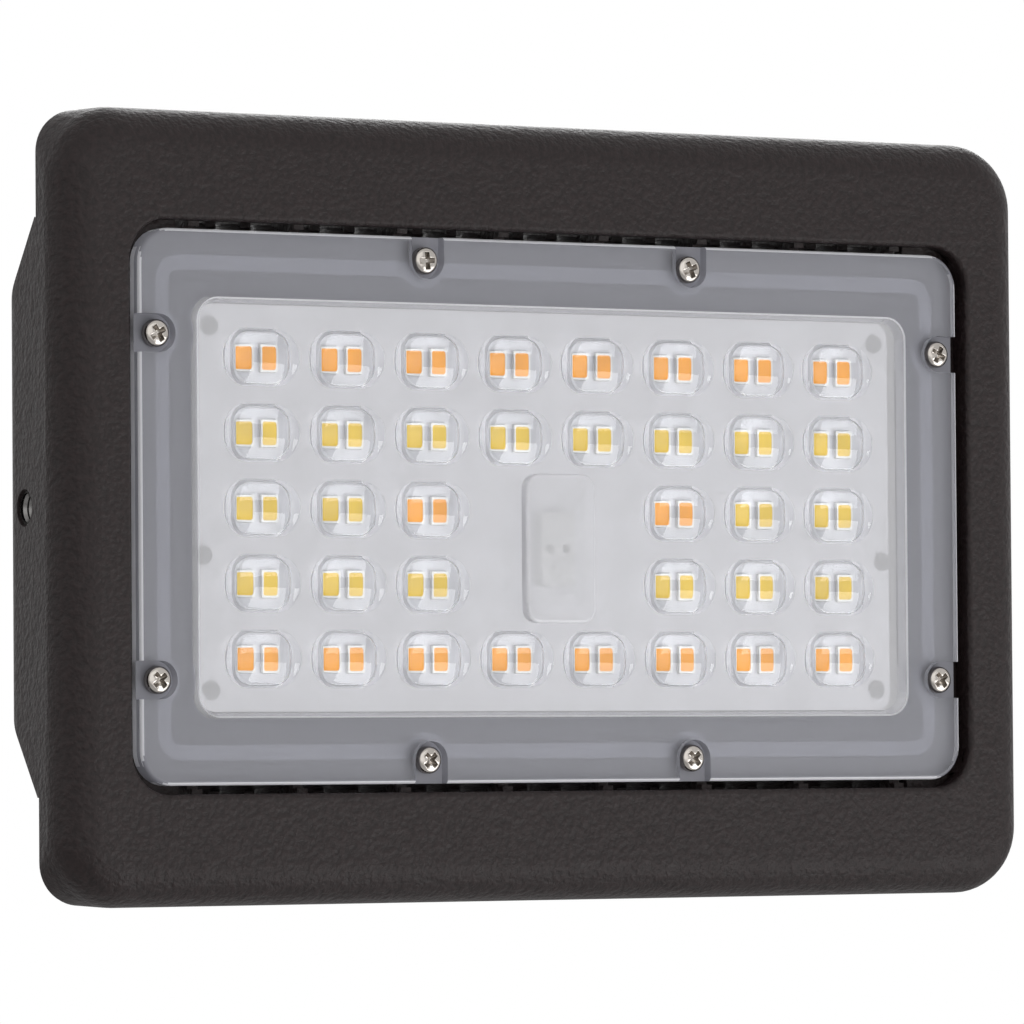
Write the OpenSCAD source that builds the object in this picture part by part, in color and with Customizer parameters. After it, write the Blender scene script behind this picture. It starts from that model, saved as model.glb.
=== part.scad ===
// Outdoor floodlight head with a rear knuckle mount.
// X runs to the right seen from the front, Z up, and +Y points behind the light.
// The origin is on the nipple's axis, at the shoulder that meets the wall box.

/* [Housing] */
// Width across the cast front frame
body_w = 233; // [210:1:260]
// Height of the cast front frame
body_h = 158; // [148:1:180]
// Depth of the casting from the front face to its flat rear
body_d = 36; // [34:1:46]
// Radius that rounds the front edge all the way round
edge_r = 8; // [5:0.5:10]
// Corner radius of the frame seen from the front
corner_r = 14; // [11:0.5:20]
// Corner radius of the skirt at its rear edge
skirt_corner_r = 8; // [5:0.5:11]
// Depth of the skirt above and below the hump
skirt_d = 13; // [12:0.5:16]
// Draft of the side walls toward the rear, in degrees
side_draft = 6.5; // [3:0.5:8]
// Wall thickness of the casting
wall = 3.2; // [2.6:0.1:4]
// Thickness of the front face round the window
face_t = 3.4; // [2.8:0.1:3.8]

/* [Rear hump] */
// Height of the hump at its foot
hump_foot_h = 114.4; // [110:0.2:116]
// Height of the hump at its rear face, before rounding
hump_top_h = 60; // [58:1:70]
// Width of the flat rear face, before rounding
hump_top_w = 176; // [168:1:190]
// Depth at which the side wall turns toward the rear face
shoulder_d = 28.5; // [26:0.5:30]
// Radius of the side shoulders
shoulder_r = 8; // [5:0.5:10]
// Radius along the upper and lower rear edges
flank_r = 10; // [6:0.5:12]

/* [Window and vents] */
// Width of the window in the front face
window_w = 203; // [190:1:206]
// Height of the window in the front face
window_h = 113.5; // [111:0.5:115]
// Corner radius of the window
window_r = 8.5; // [6:0.5:12]
// Height of the tub between the two vent slots
tub_h = 107.2; // [105:0.2:109]
// Distance between the ribs that cross the vent slots
rib_pitch = 24.35; // [22:0.05:26]
// Number of ribs across each vent slot
rib_count = 8; // [4:2:8]
// Thickness of a rib or cooling fin
fin_t = 2.4; // [1.6:0.1:3]
// Cooling fins from one rib to the next
fins_per_rib = 3; // [2:1:3]

/* [Lens panel] */
// Gap from the lens panel to the window at each side
lens_gap_x = 1.8; // [1:0.1:2.5]
// Gap from the lens panel to the window above and below
lens_gap_z = 1.3; // [0.8:0.1:1.5]
// How far the lens panel lies behind the front face
lens_drop = 0.8; // [0.4:0.1:1.2]
// Thickness of the lens panel's flange
flange_t = 3.6; // [3.4:0.1:4]
// Bevel along the front rim of the flange
lens_bevel = 0.85; // [0.4:0.05:1.2]
// Width of the recessed optic area
optic_w = 168.6; // [164:0.2:176]
// Height of the recessed optic area
optic_h = 78.6; // [77:0.2:84]
// How far the optic area is recessed behind the flange
optic_drop = 2.4; // [2:0.1:2.6]
// How far the walls of the optic area lean out toward the front
optic_lean = 1.8; // [0.5:0.1:2.2]
// Thickness of the plastic in the optic area
optic_t = 2.2; // [2:0.1:2.4]
// Thickness of the wall round the optic area
optic_wall = 3.6; // [1.6:0.1:4]
// Width of one dome
dome_w = 17.4; // [16:0.1:18]
// Height of one dome
dome_h = 11.4; // [10:0.1:12]
// How far a dome rises
dome_rise = 1.9; // [1.2:0.1:2.2]
// Width of the hollow over a pair of diodes
pocket_w = 12.6; // [11.8:0.1:13]
// Height of the hollow over a pair of diodes
pocket_h = 10.2; // [7:0.1:10.4]
// Width of the clear cover over the connector
bump_w = 17.5; // [16:0.1:19]
// Height of the clear cover over the connector
bump_h = 30.5; // [27:0.1:31]

/* [Lens fixing] */
// Half distance between the two upper, or two lower, screws
screw_x = 32; // [28:0.5:36]
// Distance of those screws from the middle of the window's height
screw_top_z = 50.3; // [49.8:0.1:50.6]
// Distance of the side screws from the middle of the window's width
screw_side_x = 94.8; // [94:0.1:95.4]
// Half distance between the screws of one side
screw_side_z = 34.2; // [30:0.2:37]
// Diameter of the small screws
m3_d = 3; // [2.5:0.1:3.2]
// Head diameter of the small screws
m3_head_d = 5.6; // [5:0.1:6]
// Head height of the small screws
m3_head_h = 2.1; // [1.8:0.1:2.2]
// Width of the notch that holds a screw head
notch_w = 7.6; // [7:0.1:8]
// Depth of the notch that holds a screw head
notch_d = 2.2; // [2:0.1:2.4]
// Thickness of the lens gasket as it is clamped
gasket_t = 0.8; // [0.6:0.1:1]
// Width of the lens gasket
gasket_w = 3; // [2.4:0.1:3.2]

/* [Diode board] */
// Distance between diode pairs across
led_pitch_x = 20; // [19.5:0.1:20.5]
// Distance between diode pairs up and down
led_pitch_z = 15; // [14.5:0.1:15.4]
// Number of diode pairs across
led_cols = 8; // [6:2:8]
// Edge length of one diode
led_size = 3.6; // [3:0.1:3.8]
// Distance between the two diodes of a pair
led_gap = 5.3; // [4.6:0.1:5.6]
// Height of one diode
led_t = 0.7; // [0.5:0.05:0.8]
// Width of the diode board
board_w = 168.6; // [160:0.2:170]
// Height of the diode board
board_h = 81.4; // [78:0.2:83]
// Thickness of the diode board
board_t = 1.6; // [1.2:0.1:2]
// Thickness of the thermal pad behind the board
pad_t = 0.5; // [0.3:0.1:1]
// Air gap between the optic area's underside and the board
board_gap = 0.6; // [0.5:0.1:1]

/* [Driver bay] */
// Length of the driver
driver_w = 102; // [90:1:104]
// Height of the driver
driver_h = 30; // [26:1:31]
// Thickness of the driver
driver_t = 17; // [14:0.5:19]
// Thickness of the floor behind the board
floor_t = 3; // [2.6:0.1:4]
// Width of the service opening in the rear face
port_w = 124; // [120:1:128]
// Height of the service opening in the rear face
port_h = 33; // [32:0.5:34]

/* [Rear cover] */
// Width of the rear cover
cover_w = 150; // [146:1:156]
// Height of the rear cover
cover_h = 51; // [50.5:0.5:52]
// Thickness of the rear cover
cover_t = 3; // [2.5:0.1:4]
// Thickness of the cover gasket as it is clamped
seal_t = 1; // [0.6:0.1:1.5]
// Distance of the selector and the cable gland from the middle
side_port_x = 48; // [47:0.1:48.4]

/* [Selector] */
// Inner radius of the selector port
selector_r = 9; // [8.6:0.1:10]
// Travel of the selector from the middle to either end
selector_travel = 2.5; // [2:0.1:3]
// Height of the collar round the selector port
collar_h = 3; // [2:0.1:4]

/* [Cable gland] */
// Radius of the gland's thread, for a 16 mm hole
gland_r = 8; // [7.5:0.1:8.2]
// Radius of the cable that the gland's seal holds
cable_r = 3.6; // [3:0.1:4]
// Size of the gland's hexagons across their flats
gland_hex = 20; // [18:0.5:20.5]

/* [Side mounting holes] */
// Wall radius of the tapped hole for an M8 bolt
side_hole_r = 3.4; // [2.5:0.1:3.5]
// Distance of the side holes behind the front face
side_hole_y = 19; // [18:0.5:20]
// Depth of the side holes
side_hole_d = 14; // [10:0.5:16]

/* [Knuckle] */
// Distance of the knuckle's pivot behind the rear cover
pivot_out = 22; // [21:0.5:28]
// Radius of the knuckle's round ends
knuckle_r = 13; // [11:0.5:14]
// Thickness of the arm's tongue
tongue_t = 14; // [12:0.5:16]
// Thickness of each ear of the base
ear_t = 6; // [5:0.5:8]
// Diameter of the pivot bolt
pivot_d = 8; // [6:0.5:10]
// Distance from the pivot to the shoulder of the nipple
arm_l = 30; // [29:0.5:40]
// Thickness of the arm's shoulder
shoulder_t = 11; // [10:0.5:11.5]
// Radius of the arm's shoulder
shoulder_flange_r = 16; // [14:0.5:16.5]
// Outside radius of the half inch pipe nipple
nipple_r = 10.67; // [9:0.01:12]
// Length of the threaded nipple
nipple_l = 16; // [12:0.5:22]

/* [Hidden] */
$fn = 48;

// Clearances and small lengths
slip = 0.05;
run_gap = 0.3;
eps = 0.02;
arc_steps = 6;

// Depths behind the front face, from the front to the rear
optic_y = lens_drop + optic_drop;
optic_back_y = optic_y + optic_t;
flange_back_y = lens_drop + flange_t;
ledge_y = flange_back_y + gasket_t;
board_y = optic_back_y + board_gap;
pad_y = board_y + board_t;
floor_y = pad_y + pad_t;
bay_y = floor_y + floor_t;
bay_back_y = body_d - wall;
seal_y = body_d;
cover_y = seal_y + seal_t;
cover_back_y = cover_y + cover_t;
pivot_y = cover_back_y + pivot_out;
head_y = -(pivot_y + arm_l);

// Lens panel outline and places
lens_w = window_w - 2 * lens_gap_x;
lens_h = window_h - 2 * lens_gap_z;
lens_r = window_r - lens_gap_z;
optic_r = 3.8;
notch_y = lens_drop + notch_d;
lens_screws_at = [for (sx = [-1, 1], sz = [-1, 1]) [sx * screw_x, sz * screw_top_z],
    for (sx = [-1, 1], sz = [-1, 1]) [sx * screw_side_x, sz * screw_side_z]];
boss_r = 6.2;
notch_run = 12;
gasket_out = [5.3, 6.05];
gasket_r = 4.2;
well_gap = 1.6;
well_w = optic_w + 2 * optic_wall + 2 * well_gap;
well_h = optic_h + 2 * optic_wall + 2 * well_gap;
well_r = 5.4;
m3_tap_r = m3_d / 2 - 0.25;
m3_len = 9;
lens_screw_tip_y = notch_y + m3_len;

// Diode grid: five rows, with four places left free for the connector
led_rows = 5;
gap_rows = [2, 3];
row_z = function(i) ((led_rows - 1) / 2 - i) * led_pitch_z;
col_x = function(j) (j - (led_cols - 1) / 2) * led_pitch_x;
is_gap = function(i, j) (i == 2 || i == 3) && (j == led_cols / 2 - 1 || j == led_cols / 2);
is_warm = function(i, j) i == 0 || i == led_rows - 1
    || (i == 2 && (j == led_cols / 2 - 2 || j == led_cols / 2 + 1));
cells = [for (i = [0:led_rows - 1], j = [0:led_cols - 1]) if (!is_gap(i, j)) [i, j]];
pocket_r = 3.6;
connector_z = (row_z(gap_rows[0]) + row_z(gap_rows[1])) / 2;
connector_size = [8, 15];
connector_h = 2.8;
lead_r = 0.8;
lead_hole_r = 5;
board_screws_at = [for (sx = [-1, 1]) each
    [[sx * 80.8, 36.2], [sx * 82.5, -9.4], [sx * 80.8, -36.2]]];
board_screw_r = 1.2;
board_screw_head_r = 1.95;
board_screw_head_h = 0.5;

// Vents and fins
fin_pitch = rib_pitch / fins_per_rib;
fin_half = (rib_count / 2 - 0.5) * fins_per_rib;
skirt_in_w = body_w - 2 * wall - 2 * (skirt_d - edge_r) * tan(side_draft);
skirt_in_h = body_h - 2 * wall - 2 * (skirt_d - edge_r) * tan(side_draft);
fin_front_y = 8.5;

// Rear cover, seals and what the cover carries
cover_r = 5;
port_r = 4;
seal_w = 3;
cover_screws_at = [for (x = [-(cover_w / 2 - 5), -(side_port_x - 24), side_port_x - 24, cover_w / 2 - 5],
    sz = [-1, 1]) [x, sz * (cover_h / 2 - 3.2)]];
cover_boss_l = 5;
cover_screw_l = 9;
driver_at_y = bay_y + 0.6;
driver_tab_w = 9;
driver_tab_t = 1.6;
driver_screw_x = driver_w / 2 + driver_tab_w / 2;
driver_screw_l = 4;
selector_x = -side_port_x;
gland_x = side_port_x;
vent_x = 29;
vent_r = 5;
vent_stem_r = 3;
vent_stem_l = 3;
vent_cap_t = 3;
vent_hole_r = 0.6;
gland_body_t = 5;
gland_thread_l = 11;
gland_nut_t = 4.5;
gland_cone_l = 4.5;
gland_seal_t = 2.2;
locknut_t = 4;
collar_r = selector_r + 2.6;
switch_size = [13, 5.6, 3.4];
slider_size = [2.6, 2.4, 1.6];
selector_board_t = 1.2;
selector_board_h = 14;
selector_screw = [1.6, 3.4, 1.2, 4.5];
post_r = 2.4;
switch_y = cover_y - 1;
selector_board_y = switch_y - switch_size[2] - selector_board_t;
post_x = selector_r + 2;

// Knuckle
base_w = 40;
base_h = 40;
base_t = 4;
base_corner_r = 5;
base_screw = [16, 16];
base_screw_d = 3.2;
base_screw_head_d = 6;
base_screw_head_h = 2;
bolt_hex = 13;
bolt_head_t = 5.3;
bolt_nut_t = 6;
bolt_spare = 1.4;
washer_r = 8;
washer_t = 1.6;
ear_x = tongue_t / 2 + run_gap;
wire_bore_r = 7.4;
exit_r = cable_r + 0.3;
nipple_gasket_t = 2;
nipple_gasket_play = 1;

bronze = [0.20, 0.17, 0.16];
clear_plastic = [0.78, 0.80, 0.84, 0.55];
bright_steel = [0.80, 0.79, 0.77];
black_plastic = [0.10, 0.10, 0.10];
silicone_grey = [0.55, 0.56, 0.60];

function unit(v) = v / norm(v);
function turned(v, a) = [v.x * cos(a) - v.y * sin(a), v.x * sin(a) + v.y * cos(a)];

// Points of one rounded corner at b, between its neighbours a and c
function corner_arc(a, b, c, r, n) =
    let (u = unit(a - b), w = unit(c - b), half = acos(u * w) / 2,
        centre = b + unit(u + w) * r / sin(half),
        start = b + u * r / tan(half) - centre,
        way = sign(u.x * w.y - u.y * w.x))
    r <= 0 ? [b] : [for (i = [0:n]) centre + turned(start, -way * (180 - 2 * half) * i / n)];

// Closed outline with a radius at each corner; corners are [x, y, radius]
function rounded(corners, n = arc_steps) =
    let (k = len(corners), p = [for (c = corners) [c.x, c.y]])
    [for (i = [0:k - 1]) each corner_arc(p[(i + k - 1) % k], p[i], p[(i + 1) % k], corners[i][2], n)];

// Rounded rectangle about the origin
function rect_points(w, h, r, n = arc_steps) =
    rounded([[-w / 2, -h / 2, r], [w / 2, -h / 2, r], [w / 2, h / 2, r], [-w / 2, h / 2, r]], n);

module rect_2d(w, h, r) polygon(rect_points(w, h, r));

// Extrudes a front view outline from depth y0 to y1
module along_y(y0, y1) translate([0, y1, 0]) rotate([90, 0, 0]) linear_extrude(y1 - y0) children();

// Extrudes a side view outline, given as depth and height, over a width centred on x
module along_x(w, x = 0) translate([x - w / 2, 0, 0]) rotate([90, 0, 90]) linear_extrude(w) children();

// Round bar or bore along the depth
module rod_y(r, y0, y1) translate([0, y1, 0]) rotate([90, 0, 0]) cylinder(r = r, h = y1 - y0);

// Round bar or bore along the width
module rod_x(r, x0, x1) translate([x0, 0, 0]) rotate([0, 90, 0]) cylinder(r = r, h = x1 - x0);

// Skin over outlines of equal count; each ring is [depth, points]
module loft(rings) {
    n = len(rings[0][1]);
    m = len(rings);
    points = [for (ring = rings, p = ring[1]) [p.x, ring[0], p.y]];
    sides = [for (k = [0:m - 2], j = [0:n - 1]) let (a = k * n, b = a + n, t = (j + 1) % n)
        each [[a + j, a + t, b + t], [a + j, b + t, b + j]]];
    front = [for (j = [n - 1:-1:0]) j];
    back = [for (j = [0:n - 1]) (m - 1) * n + j];
    polyhedron(points, concat([front], sides, [back]));
}

module in_head() translate([0, head_y, 0]) children();

module at(p, y = 0) translate([p.x, y, p.y]) children();

// Screw along the depth: its head toward the front, its seat at y = 0
module pan_screw(d, head_d, head_h, l) {
    translate([0, -head_h, 0]) rotate([-90, 0, 0])
        cylinder(r1 = head_d * 0.36, r2 = head_d / 2, h = head_h * 0.45);
    rod_y(head_d / 2, -head_h * 0.55, 0);
    rod_y(d / 2, -eps, l);
}

// Cross slot in a screw head
module cross_slot(head_d, head_h) {
    for (a = [0, 90]) rotate([0, a, 0]) along_y(-head_h - 1, -head_h * 0.4)
        square([head_d * 0.5, head_d * 0.16], center = true);
}

module slotted_screw(d, head_d, head_h, l) difference() {
    pan_screw(d, head_d, head_h, l);
    cross_slot(head_d, head_h);
}

// HOUSING
// Front frame and skirt as one solid block, rounded along the front edge
module frame_block() {
    rear_inset = (skirt_d - edge_r) * tan(side_draft);
    loft([for (a = [0:15:90]) let (inset = edge_r * (1 - sin(a)))
            [edge_r * (1 - cos(a)), rect_points(body_w - 2 * inset, body_h - 2 * inset, corner_r - inset)],
        [skirt_d, rect_points(body_w - 2 * rear_inset, body_h - 2 * rear_inset, skirt_corner_r)]]);
}

// Plan outline of the hump, inset for its inner wall
module hump_plan(inset, y0, y1) {
    x_at = function(y) body_w / 2 - (y - edge_r) * tan(side_draft) - inset;
    side = [[x_at(edge_r) - edge_r * 0.75 + inset * 0.6, y0, 0], [x_at(edge_r), edge_r, 0],
        [x_at(shoulder_d), min(shoulder_d, y1 - 3.6), shoulder_r - inset],
        [hump_top_w / 2, y1, flank_r - inset]];
    polygon(rounded([for (i = [3:-1:0]) [-side[i].x, side[i].y, side[i][2]], each side], 8));
}

// Side view outline of the tub and hump, given as depth and height
module hump_side(inset, y0, y1) {
    foot = hump_foot_h / 2 - inset;
    tub = tub_h / 2 - inset;
    slope = (hump_foot_h - hump_top_h) / 2 / (body_d - skirt_d);
    top = foot - slope * (y1 - skirt_d) - inset * 0.35;
    polygon(rounded([[y0, -tub, 0], [skirt_d, -foot, 0], [y1, -top, flank_r - inset],
        [y1, top, flank_r - inset], [skirt_d, foot, 0], [y0, tub, 0]], 8));
}

module hump_block(inset, y0, y1) intersection() {
    translate([0, 0, -body_h / 2]) linear_extrude(body_h) hump_plan(inset, y0, y1);
    along_x(body_w + 2) hump_side(inset, y0, y1);
}

// Open space behind the front face, above and below the tub
module vent_space() difference() {
    along_y(face_t, body_d) rect_2d(skirt_in_w, skirt_in_h, skirt_corner_r - 2);
    along_x(body_w + 4) hump_side(0, face_t - eps, body_d + eps);
}

// Ribs that cross the vent slots, and the cooling fins between them
module cooling_fins() {
    fin_top = skirt_in_h / 2 + 1;
    for (k = [-fin_half:1:fin_half]) {
        is_rib = abs((k + fin_half) % fins_per_rib) < 0.01;
        y0 = is_rib ? face_t - eps : fin_front_y;
        for (s = [-1, 1]) along_x(fin_t, k * fin_pitch)
            polygon([[y0, s * (tub_h / 2 - 2)], [y0, s * fin_top], [skirt_d, s * fin_top],
                [body_d - 6, s * (hump_top_h / 2 + 8)], [body_d - 6, s * (hump_top_h / 2 - 2)]]);
    }
}

module lens_well_2d() difference() {
    rect_2d(well_w, well_h, well_r);
    for (p = lens_screws_at) translate(p) circle(boss_r);
}

module housing_solid() {
    difference() {
        frame_block();
        vent_space();
    }
    hump_block(0, face_t, body_d);
    cooling_fins();
}

module side_bosses() for (s = [-1, 1]) translate([0, side_hole_y, 0])
    rod_x(side_hole_r + 4, s > 0 ? body_w / 2 - side_hole_d - 4 : -(body_w / 2 - 4),
        s > 0 ? body_w / 2 - 4 : -(body_w / 2 - side_hole_d - 4));

module driver_bosses() for (s = [-1, 1]) at([s * driver_screw_x, 0]) rod_y(4.5, bay_y - 1, driver_at_y);

module cover_bosses() for (p = cover_screws_at) at(p)
    rod_y(m3_tap_r + 2.2, bay_back_y - cover_boss_l, body_d - 1);

module lens_screw_bosses() for (p = lens_screws_at) at(p)
    rod_y(m3_tap_r + 2.2, bay_y - 1, lens_screw_tip_y + 1.6);

module housing() color(bronze) in_head() difference() {
    union() {
        difference() {
            housing_solid();
            hump_block(wall, bay_y, bay_back_y);
        }
        side_bosses();
        driver_bosses();
        cover_bosses();
        lens_screw_bosses();
    }
    along_y(-1, face_t) rect_2d(window_w, window_h, window_r);
    along_y(face_t - 1, ledge_y) rect_2d(window_w, lens_h + 2 * run_gap, lens_r);
    along_y(ledge_y - 1, floor_y) lens_well_2d();
    along_y(bay_back_y - 1, body_d + 1) rect_2d(port_w, port_h, port_r);
    for (p = lens_screws_at) at(p) rod_y(m3_tap_r, ledge_y - 1, lens_screw_tip_y + 0.4);
    for (p = board_screws_at) at(p) rod_y(board_screw_r - 0.2, floor_y - 1, bay_y - 0.4);
    for (p = cover_screws_at) at(p) rod_y(m3_tap_r, bay_back_y - cover_boss_l + 1, body_d + 1);
    for (s = [-1, 1]) at([s * driver_screw_x, 0]) rod_y(m3_tap_r, floor_y + 1, driver_at_y + 1);
    for (s = [-1, 1]) translate([0, side_hole_y, 0])
        rod_x(side_hole_r, s > 0 ? body_w / 2 - side_hole_d : -(body_w / 2 + 1),
            s > 0 ? body_w / 2 + 1 : -(body_w / 2 - side_hole_d));
    at([0, connector_z]) rod_y(lead_hole_r, floor_y - 1, bay_y + 1);
}

// LENS PANEL
module lens_plate() {
    rim_y = lens_drop + lens_bevel;
    loft([[lens_drop, rect_points(lens_w - 2 * lens_bevel, lens_h - 2 * lens_bevel, lens_r - lens_bevel)],
        [rim_y, rect_points(lens_w, lens_h, lens_r)], [flange_back_y, rect_points(lens_w, lens_h, lens_r)]]);
}

// Optic area outline, drawn in round the screws
module optic_2d(grow, hug_r) difference() {
    rect_2d(optic_w + 2 * grow, optic_h + 2 * grow, optic_r + grow);
    for (p = lens_screws_at) translate(p) circle(hug_r);
}

// Low dome with a rounded rectangular foot
module dome(w, h, rise) {
    steps = [[-0.3, 0], [0, 0], [0.45, 0.62], [0.8, 1.5], [1, 3.2]];
    loft([for (i = [len(steps) - 1:-1:0]) let (s = steps[i])
        [-s[0] * rise, rect_points(w - 2 * s[1], h - 2 * s[1], min(h, w) / 2 - s[1] - 0.4, 3)]]);
}

// U shape round a screw, open toward the nearest edge of the panel
module open_notch_2d(p, r) {
    circle(r);
    out = abs(p.y) > screw_side_z + 1 ? [0, sign(p.y)] : [sign(p.x), 0];
    translate(out * notch_run / 2)
        square(2 * r * [abs(out.y), abs(out.x)] + notch_run * [abs(out.x), abs(out.y)], center = true);
}

// Recess of the optic area: its walls lean in toward the plate
module optic_recess() difference() {
    top = optic_drop + 1;
    grow = optic_lean * top / optic_drop;
    loft([[optic_y - top, rect_points(optic_w + 2 * grow, optic_h + 2 * grow, optic_r + grow)],
        [optic_y, rect_points(optic_w, optic_h, optic_r)]]);
    for (p = lens_screws_at) at(p) rod_y(boss_r + 2.8, 0, optic_y + 1);
}

module optic_lens() color(clear_plastic) in_head() difference() {
    union() {
        difference() {
            union() {
                lens_plate();
                along_y(flange_back_y - 1, optic_back_y) optic_2d(optic_wall, boss_r + 0.8);
            }
            optic_recess();
        }
        for (c = cells) at([col_x(c[1]), row_z(c[0])], optic_y) dome(dome_w, dome_h, dome_rise);
        at([0, connector_z], optic_y) dome(bump_w, bump_h, dome_rise);
    }
    for (c = cells) at([col_x(c[1]), row_z(c[0])]) along_y(optic_y - 0.3, optic_back_y + 1)
        polygon(rect_points(pocket_w, pocket_h, pocket_r, 3));
    at([0, connector_z]) along_y(optic_y - 0.6, optic_back_y + 1)
        polygon(rect_points(bump_w - 3, bump_h - 3, 2, 3));
    for (p = lens_screws_at) at(p) {
        along_y(lens_drop - 1, notch_y) open_notch_2d(p, notch_w / 2);
        rod_y(m3_d / 2 + 0.2, 0, flange_back_y + 1);
    }
}

module gasket_line_2d(grow, hug_r) difference() {
    rect_2d(optic_w + 2 * (optic_wall + gasket_out.x + grow),
        optic_h + 2 * (optic_wall + gasket_out.y + grow), gasket_r + grow);
    for (p = lens_screws_at) translate(p) open_notch_2d(p, hug_r);
}

module lens_gasket() color(silicone_grey) in_head() along_y(flange_back_y, ledge_y) difference() {
    gasket_line_2d(gasket_w / 2 - 0.4, 2.6);
    gasket_line_2d(-gasket_w / 2 - 0.4, 2.6 + gasket_w);
}

module lens_screws() color(bright_steel) in_head() for (p = lens_screws_at)
    at(p, notch_y) slotted_screw(2 * m3_tap_r - 2 * eps, m3_head_d, m3_head_h, m3_len);

// DIODE BOARD
module led_board() color([0.90, 0.90, 0.92]) in_head() difference() {
    along_y(board_y, pad_y) rect_2d(board_w, board_h, 3.4);
    for (p = board_screws_at) at(p) rod_y(board_screw_r + 0.15, 0, pad_y + 1);
    at([0, connector_z]) rod_y(2.4, 0, pad_y + 1);
}

module led_pair() for (s = [-1, 1]) translate([s * led_gap / 2 - led_size / 2, -led_t, -led_size / 2])
    cube([led_size, led_t, led_size]);

module warm_leds() color([0.98, 0.66, 0.27]) in_head() for (c = cells) if (is_warm(c[0], c[1]))
    at([col_x(c[1]), row_z(c[0])], board_y) led_pair();

module cool_leds() color([0.93, 0.82, 0.35]) in_head() for (c = cells) if (!is_warm(c[0], c[1]))
    at([col_x(c[1]), row_z(c[0])], board_y) led_pair();

module board_screws() color([0.45, 0.45, 0.48]) in_head() for (p = board_screws_at) at(p, board_y) {
    rod_y(board_screw_head_r, -board_screw_head_h, 0);
    rod_y(board_screw_r - 0.2 - eps, -eps, bay_y - board_y - 0.6);
}

module board_connector() color([0.85, 0.85, 0.86]) in_head() at([0, connector_z], board_y) difference() {
    along_y(-connector_h, 0) square(connector_size, center = true);
    for (s = [-1, 1]) at([s * 1.9, 0]) rod_y(0.9, -connector_h - 1, -0.8);
}

module thermal_pad() color([0.60, 0.64, 0.70]) in_head() difference() {
    along_y(pad_y, floor_y) rect_2d(board_w - 4, board_h - 4, 2);
    for (p = board_screws_at) at(p) rod_y(3.4, pad_y - 1, floor_y + 1);
    at([0, connector_z]) rod_y(lead_hole_r, pad_y - 1, floor_y + 1);
}

// DRIVER
module led_leads() color([0.75, 0.12, 0.10]) in_head() for (s = [-1, 1])
    at([s * 1.1, connector_z]) rod_y(lead_r, board_y, driver_at_y);

module driver() color([0.88, 0.88, 0.86]) in_head() {
    along_y(driver_at_y, driver_at_y + driver_t) rect_2d(driver_w, driver_h, 2);
    difference() {
        along_y(driver_at_y, driver_at_y + driver_tab_t)
            square([driver_w + 2 * driver_tab_w, driver_h * 0.5], center = true);
        for (s = [-1, 1]) at([s * driver_screw_x, 0]) rod_y(m3_d / 2 + 0.2, 0, 40);
    }
}

module driver_screws() color(bright_steel) in_head() for (s = [-1, 1])
    at([s * driver_screw_x, 0], driver_at_y + driver_tab_t) rotate([0, 0, 180])
        slotted_screw(2 * m3_tap_r - 2 * eps, m3_head_d, m3_head_h, driver_screw_l);

// REAR COVER
module rear_cover() color(bronze) in_head() difference() {
    union() {
        along_y(cover_y, cover_back_y) rect_2d(cover_w, cover_h, cover_r);
        at([selector_x, 0]) rod_y(collar_r, cover_y, cover_back_y + collar_h);
        for (s = [-1, 1]) at([selector_x + s * post_x, 0])
            rod_y(post_r, selector_board_y + selector_board_t, cover_y + 1);
    }
    at([selector_x, 0]) rod_y(selector_r - 2, cover_y - eps, cover_back_y + collar_h + 1);
    at([selector_x, 0]) rod_y(selector_r, cover_y + 1, cover_back_y + collar_h + 1);
    at([gland_x, 0]) rod_y(gland_r + slip, cover_y - 1, cover_back_y + 1);
    at([vent_x, 0]) rod_y(vent_stem_r + slip, cover_y - 1, cover_back_y + 1);
    for (p = cover_screws_at) at(p) rod_y(m3_d / 2 + 0.2, cover_y - 1, cover_back_y + 1);
    for (sx = [-1, 1], sz = [-1, 1]) at([sx * base_screw.x, sz * base_screw.y])
        rod_y(base_screw_d / 2, cover_y + 0.4, cover_back_y + 1);
    for (s = [-1, 1]) at([selector_x + s * post_x, 0]) rod_y(0.9, selector_board_y, cover_y);
}

module cover_gasket() color(black_plastic) in_head() along_y(seal_y, cover_y) difference() {
    rect_2d(port_w + 2 * seal_w, port_h + 2 * seal_w, port_r + seal_w);
    rect_2d(port_w, port_h, port_r);
}

module cover_screws() color(bright_steel) in_head() for (p = cover_screws_at)
    at(p, cover_back_y) rotate([0, 0, 180])
        slotted_screw(2 * m3_tap_r - 2 * eps, m3_head_d, m3_head_h, cover_screw_l);

module hex_2d(across) circle(r = across / sqrt(3), $fn = 6);

module cable_gland() color(black_plastic) in_head() at([gland_x, 0]) difference() {
    union() {
        rod_y(gland_r, cover_y - locknut_t - 1, cover_back_y + gland_thread_l);
        along_y(cover_back_y, cover_back_y + gland_body_t) hex_2d(gland_hex);
    }
    rod_y(cable_r + gland_seal_t, cover_y - locknut_t - 2, cover_back_y + gland_thread_l + 1);
}

module gland_seal() color([0.2, 0.2, 0.2]) in_head() at([gland_x, 0]) difference() {
    rod_y(cable_r + gland_seal_t - eps, cover_back_y + 2, cover_back_y + gland_thread_l);
    rod_y(cable_r, cover_back_y + 1, cover_back_y + gland_thread_l + 1);
}

nut_y = cover_back_y + gland_body_t;
module gland_nut() color(black_plastic) in_head() at([gland_x, 0]) difference() {
    union() {
        along_y(nut_y, nut_y + gland_nut_t) hex_2d(gland_hex);
        translate([0, nut_y + gland_nut_t, 0]) rotate([-90, 0, 0])
            cylinder(r1 = gland_hex / 2 - 0.4, r2 = gland_hex / 2 - 3, h = gland_cone_l);
    }
    rod_y(gland_r + slip, nut_y - 1, cover_back_y + gland_thread_l);
    rod_y(cable_r + 0.8, cover_back_y + gland_thread_l - 1, nut_y + gland_nut_t + gland_cone_l + 1);
}

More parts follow.
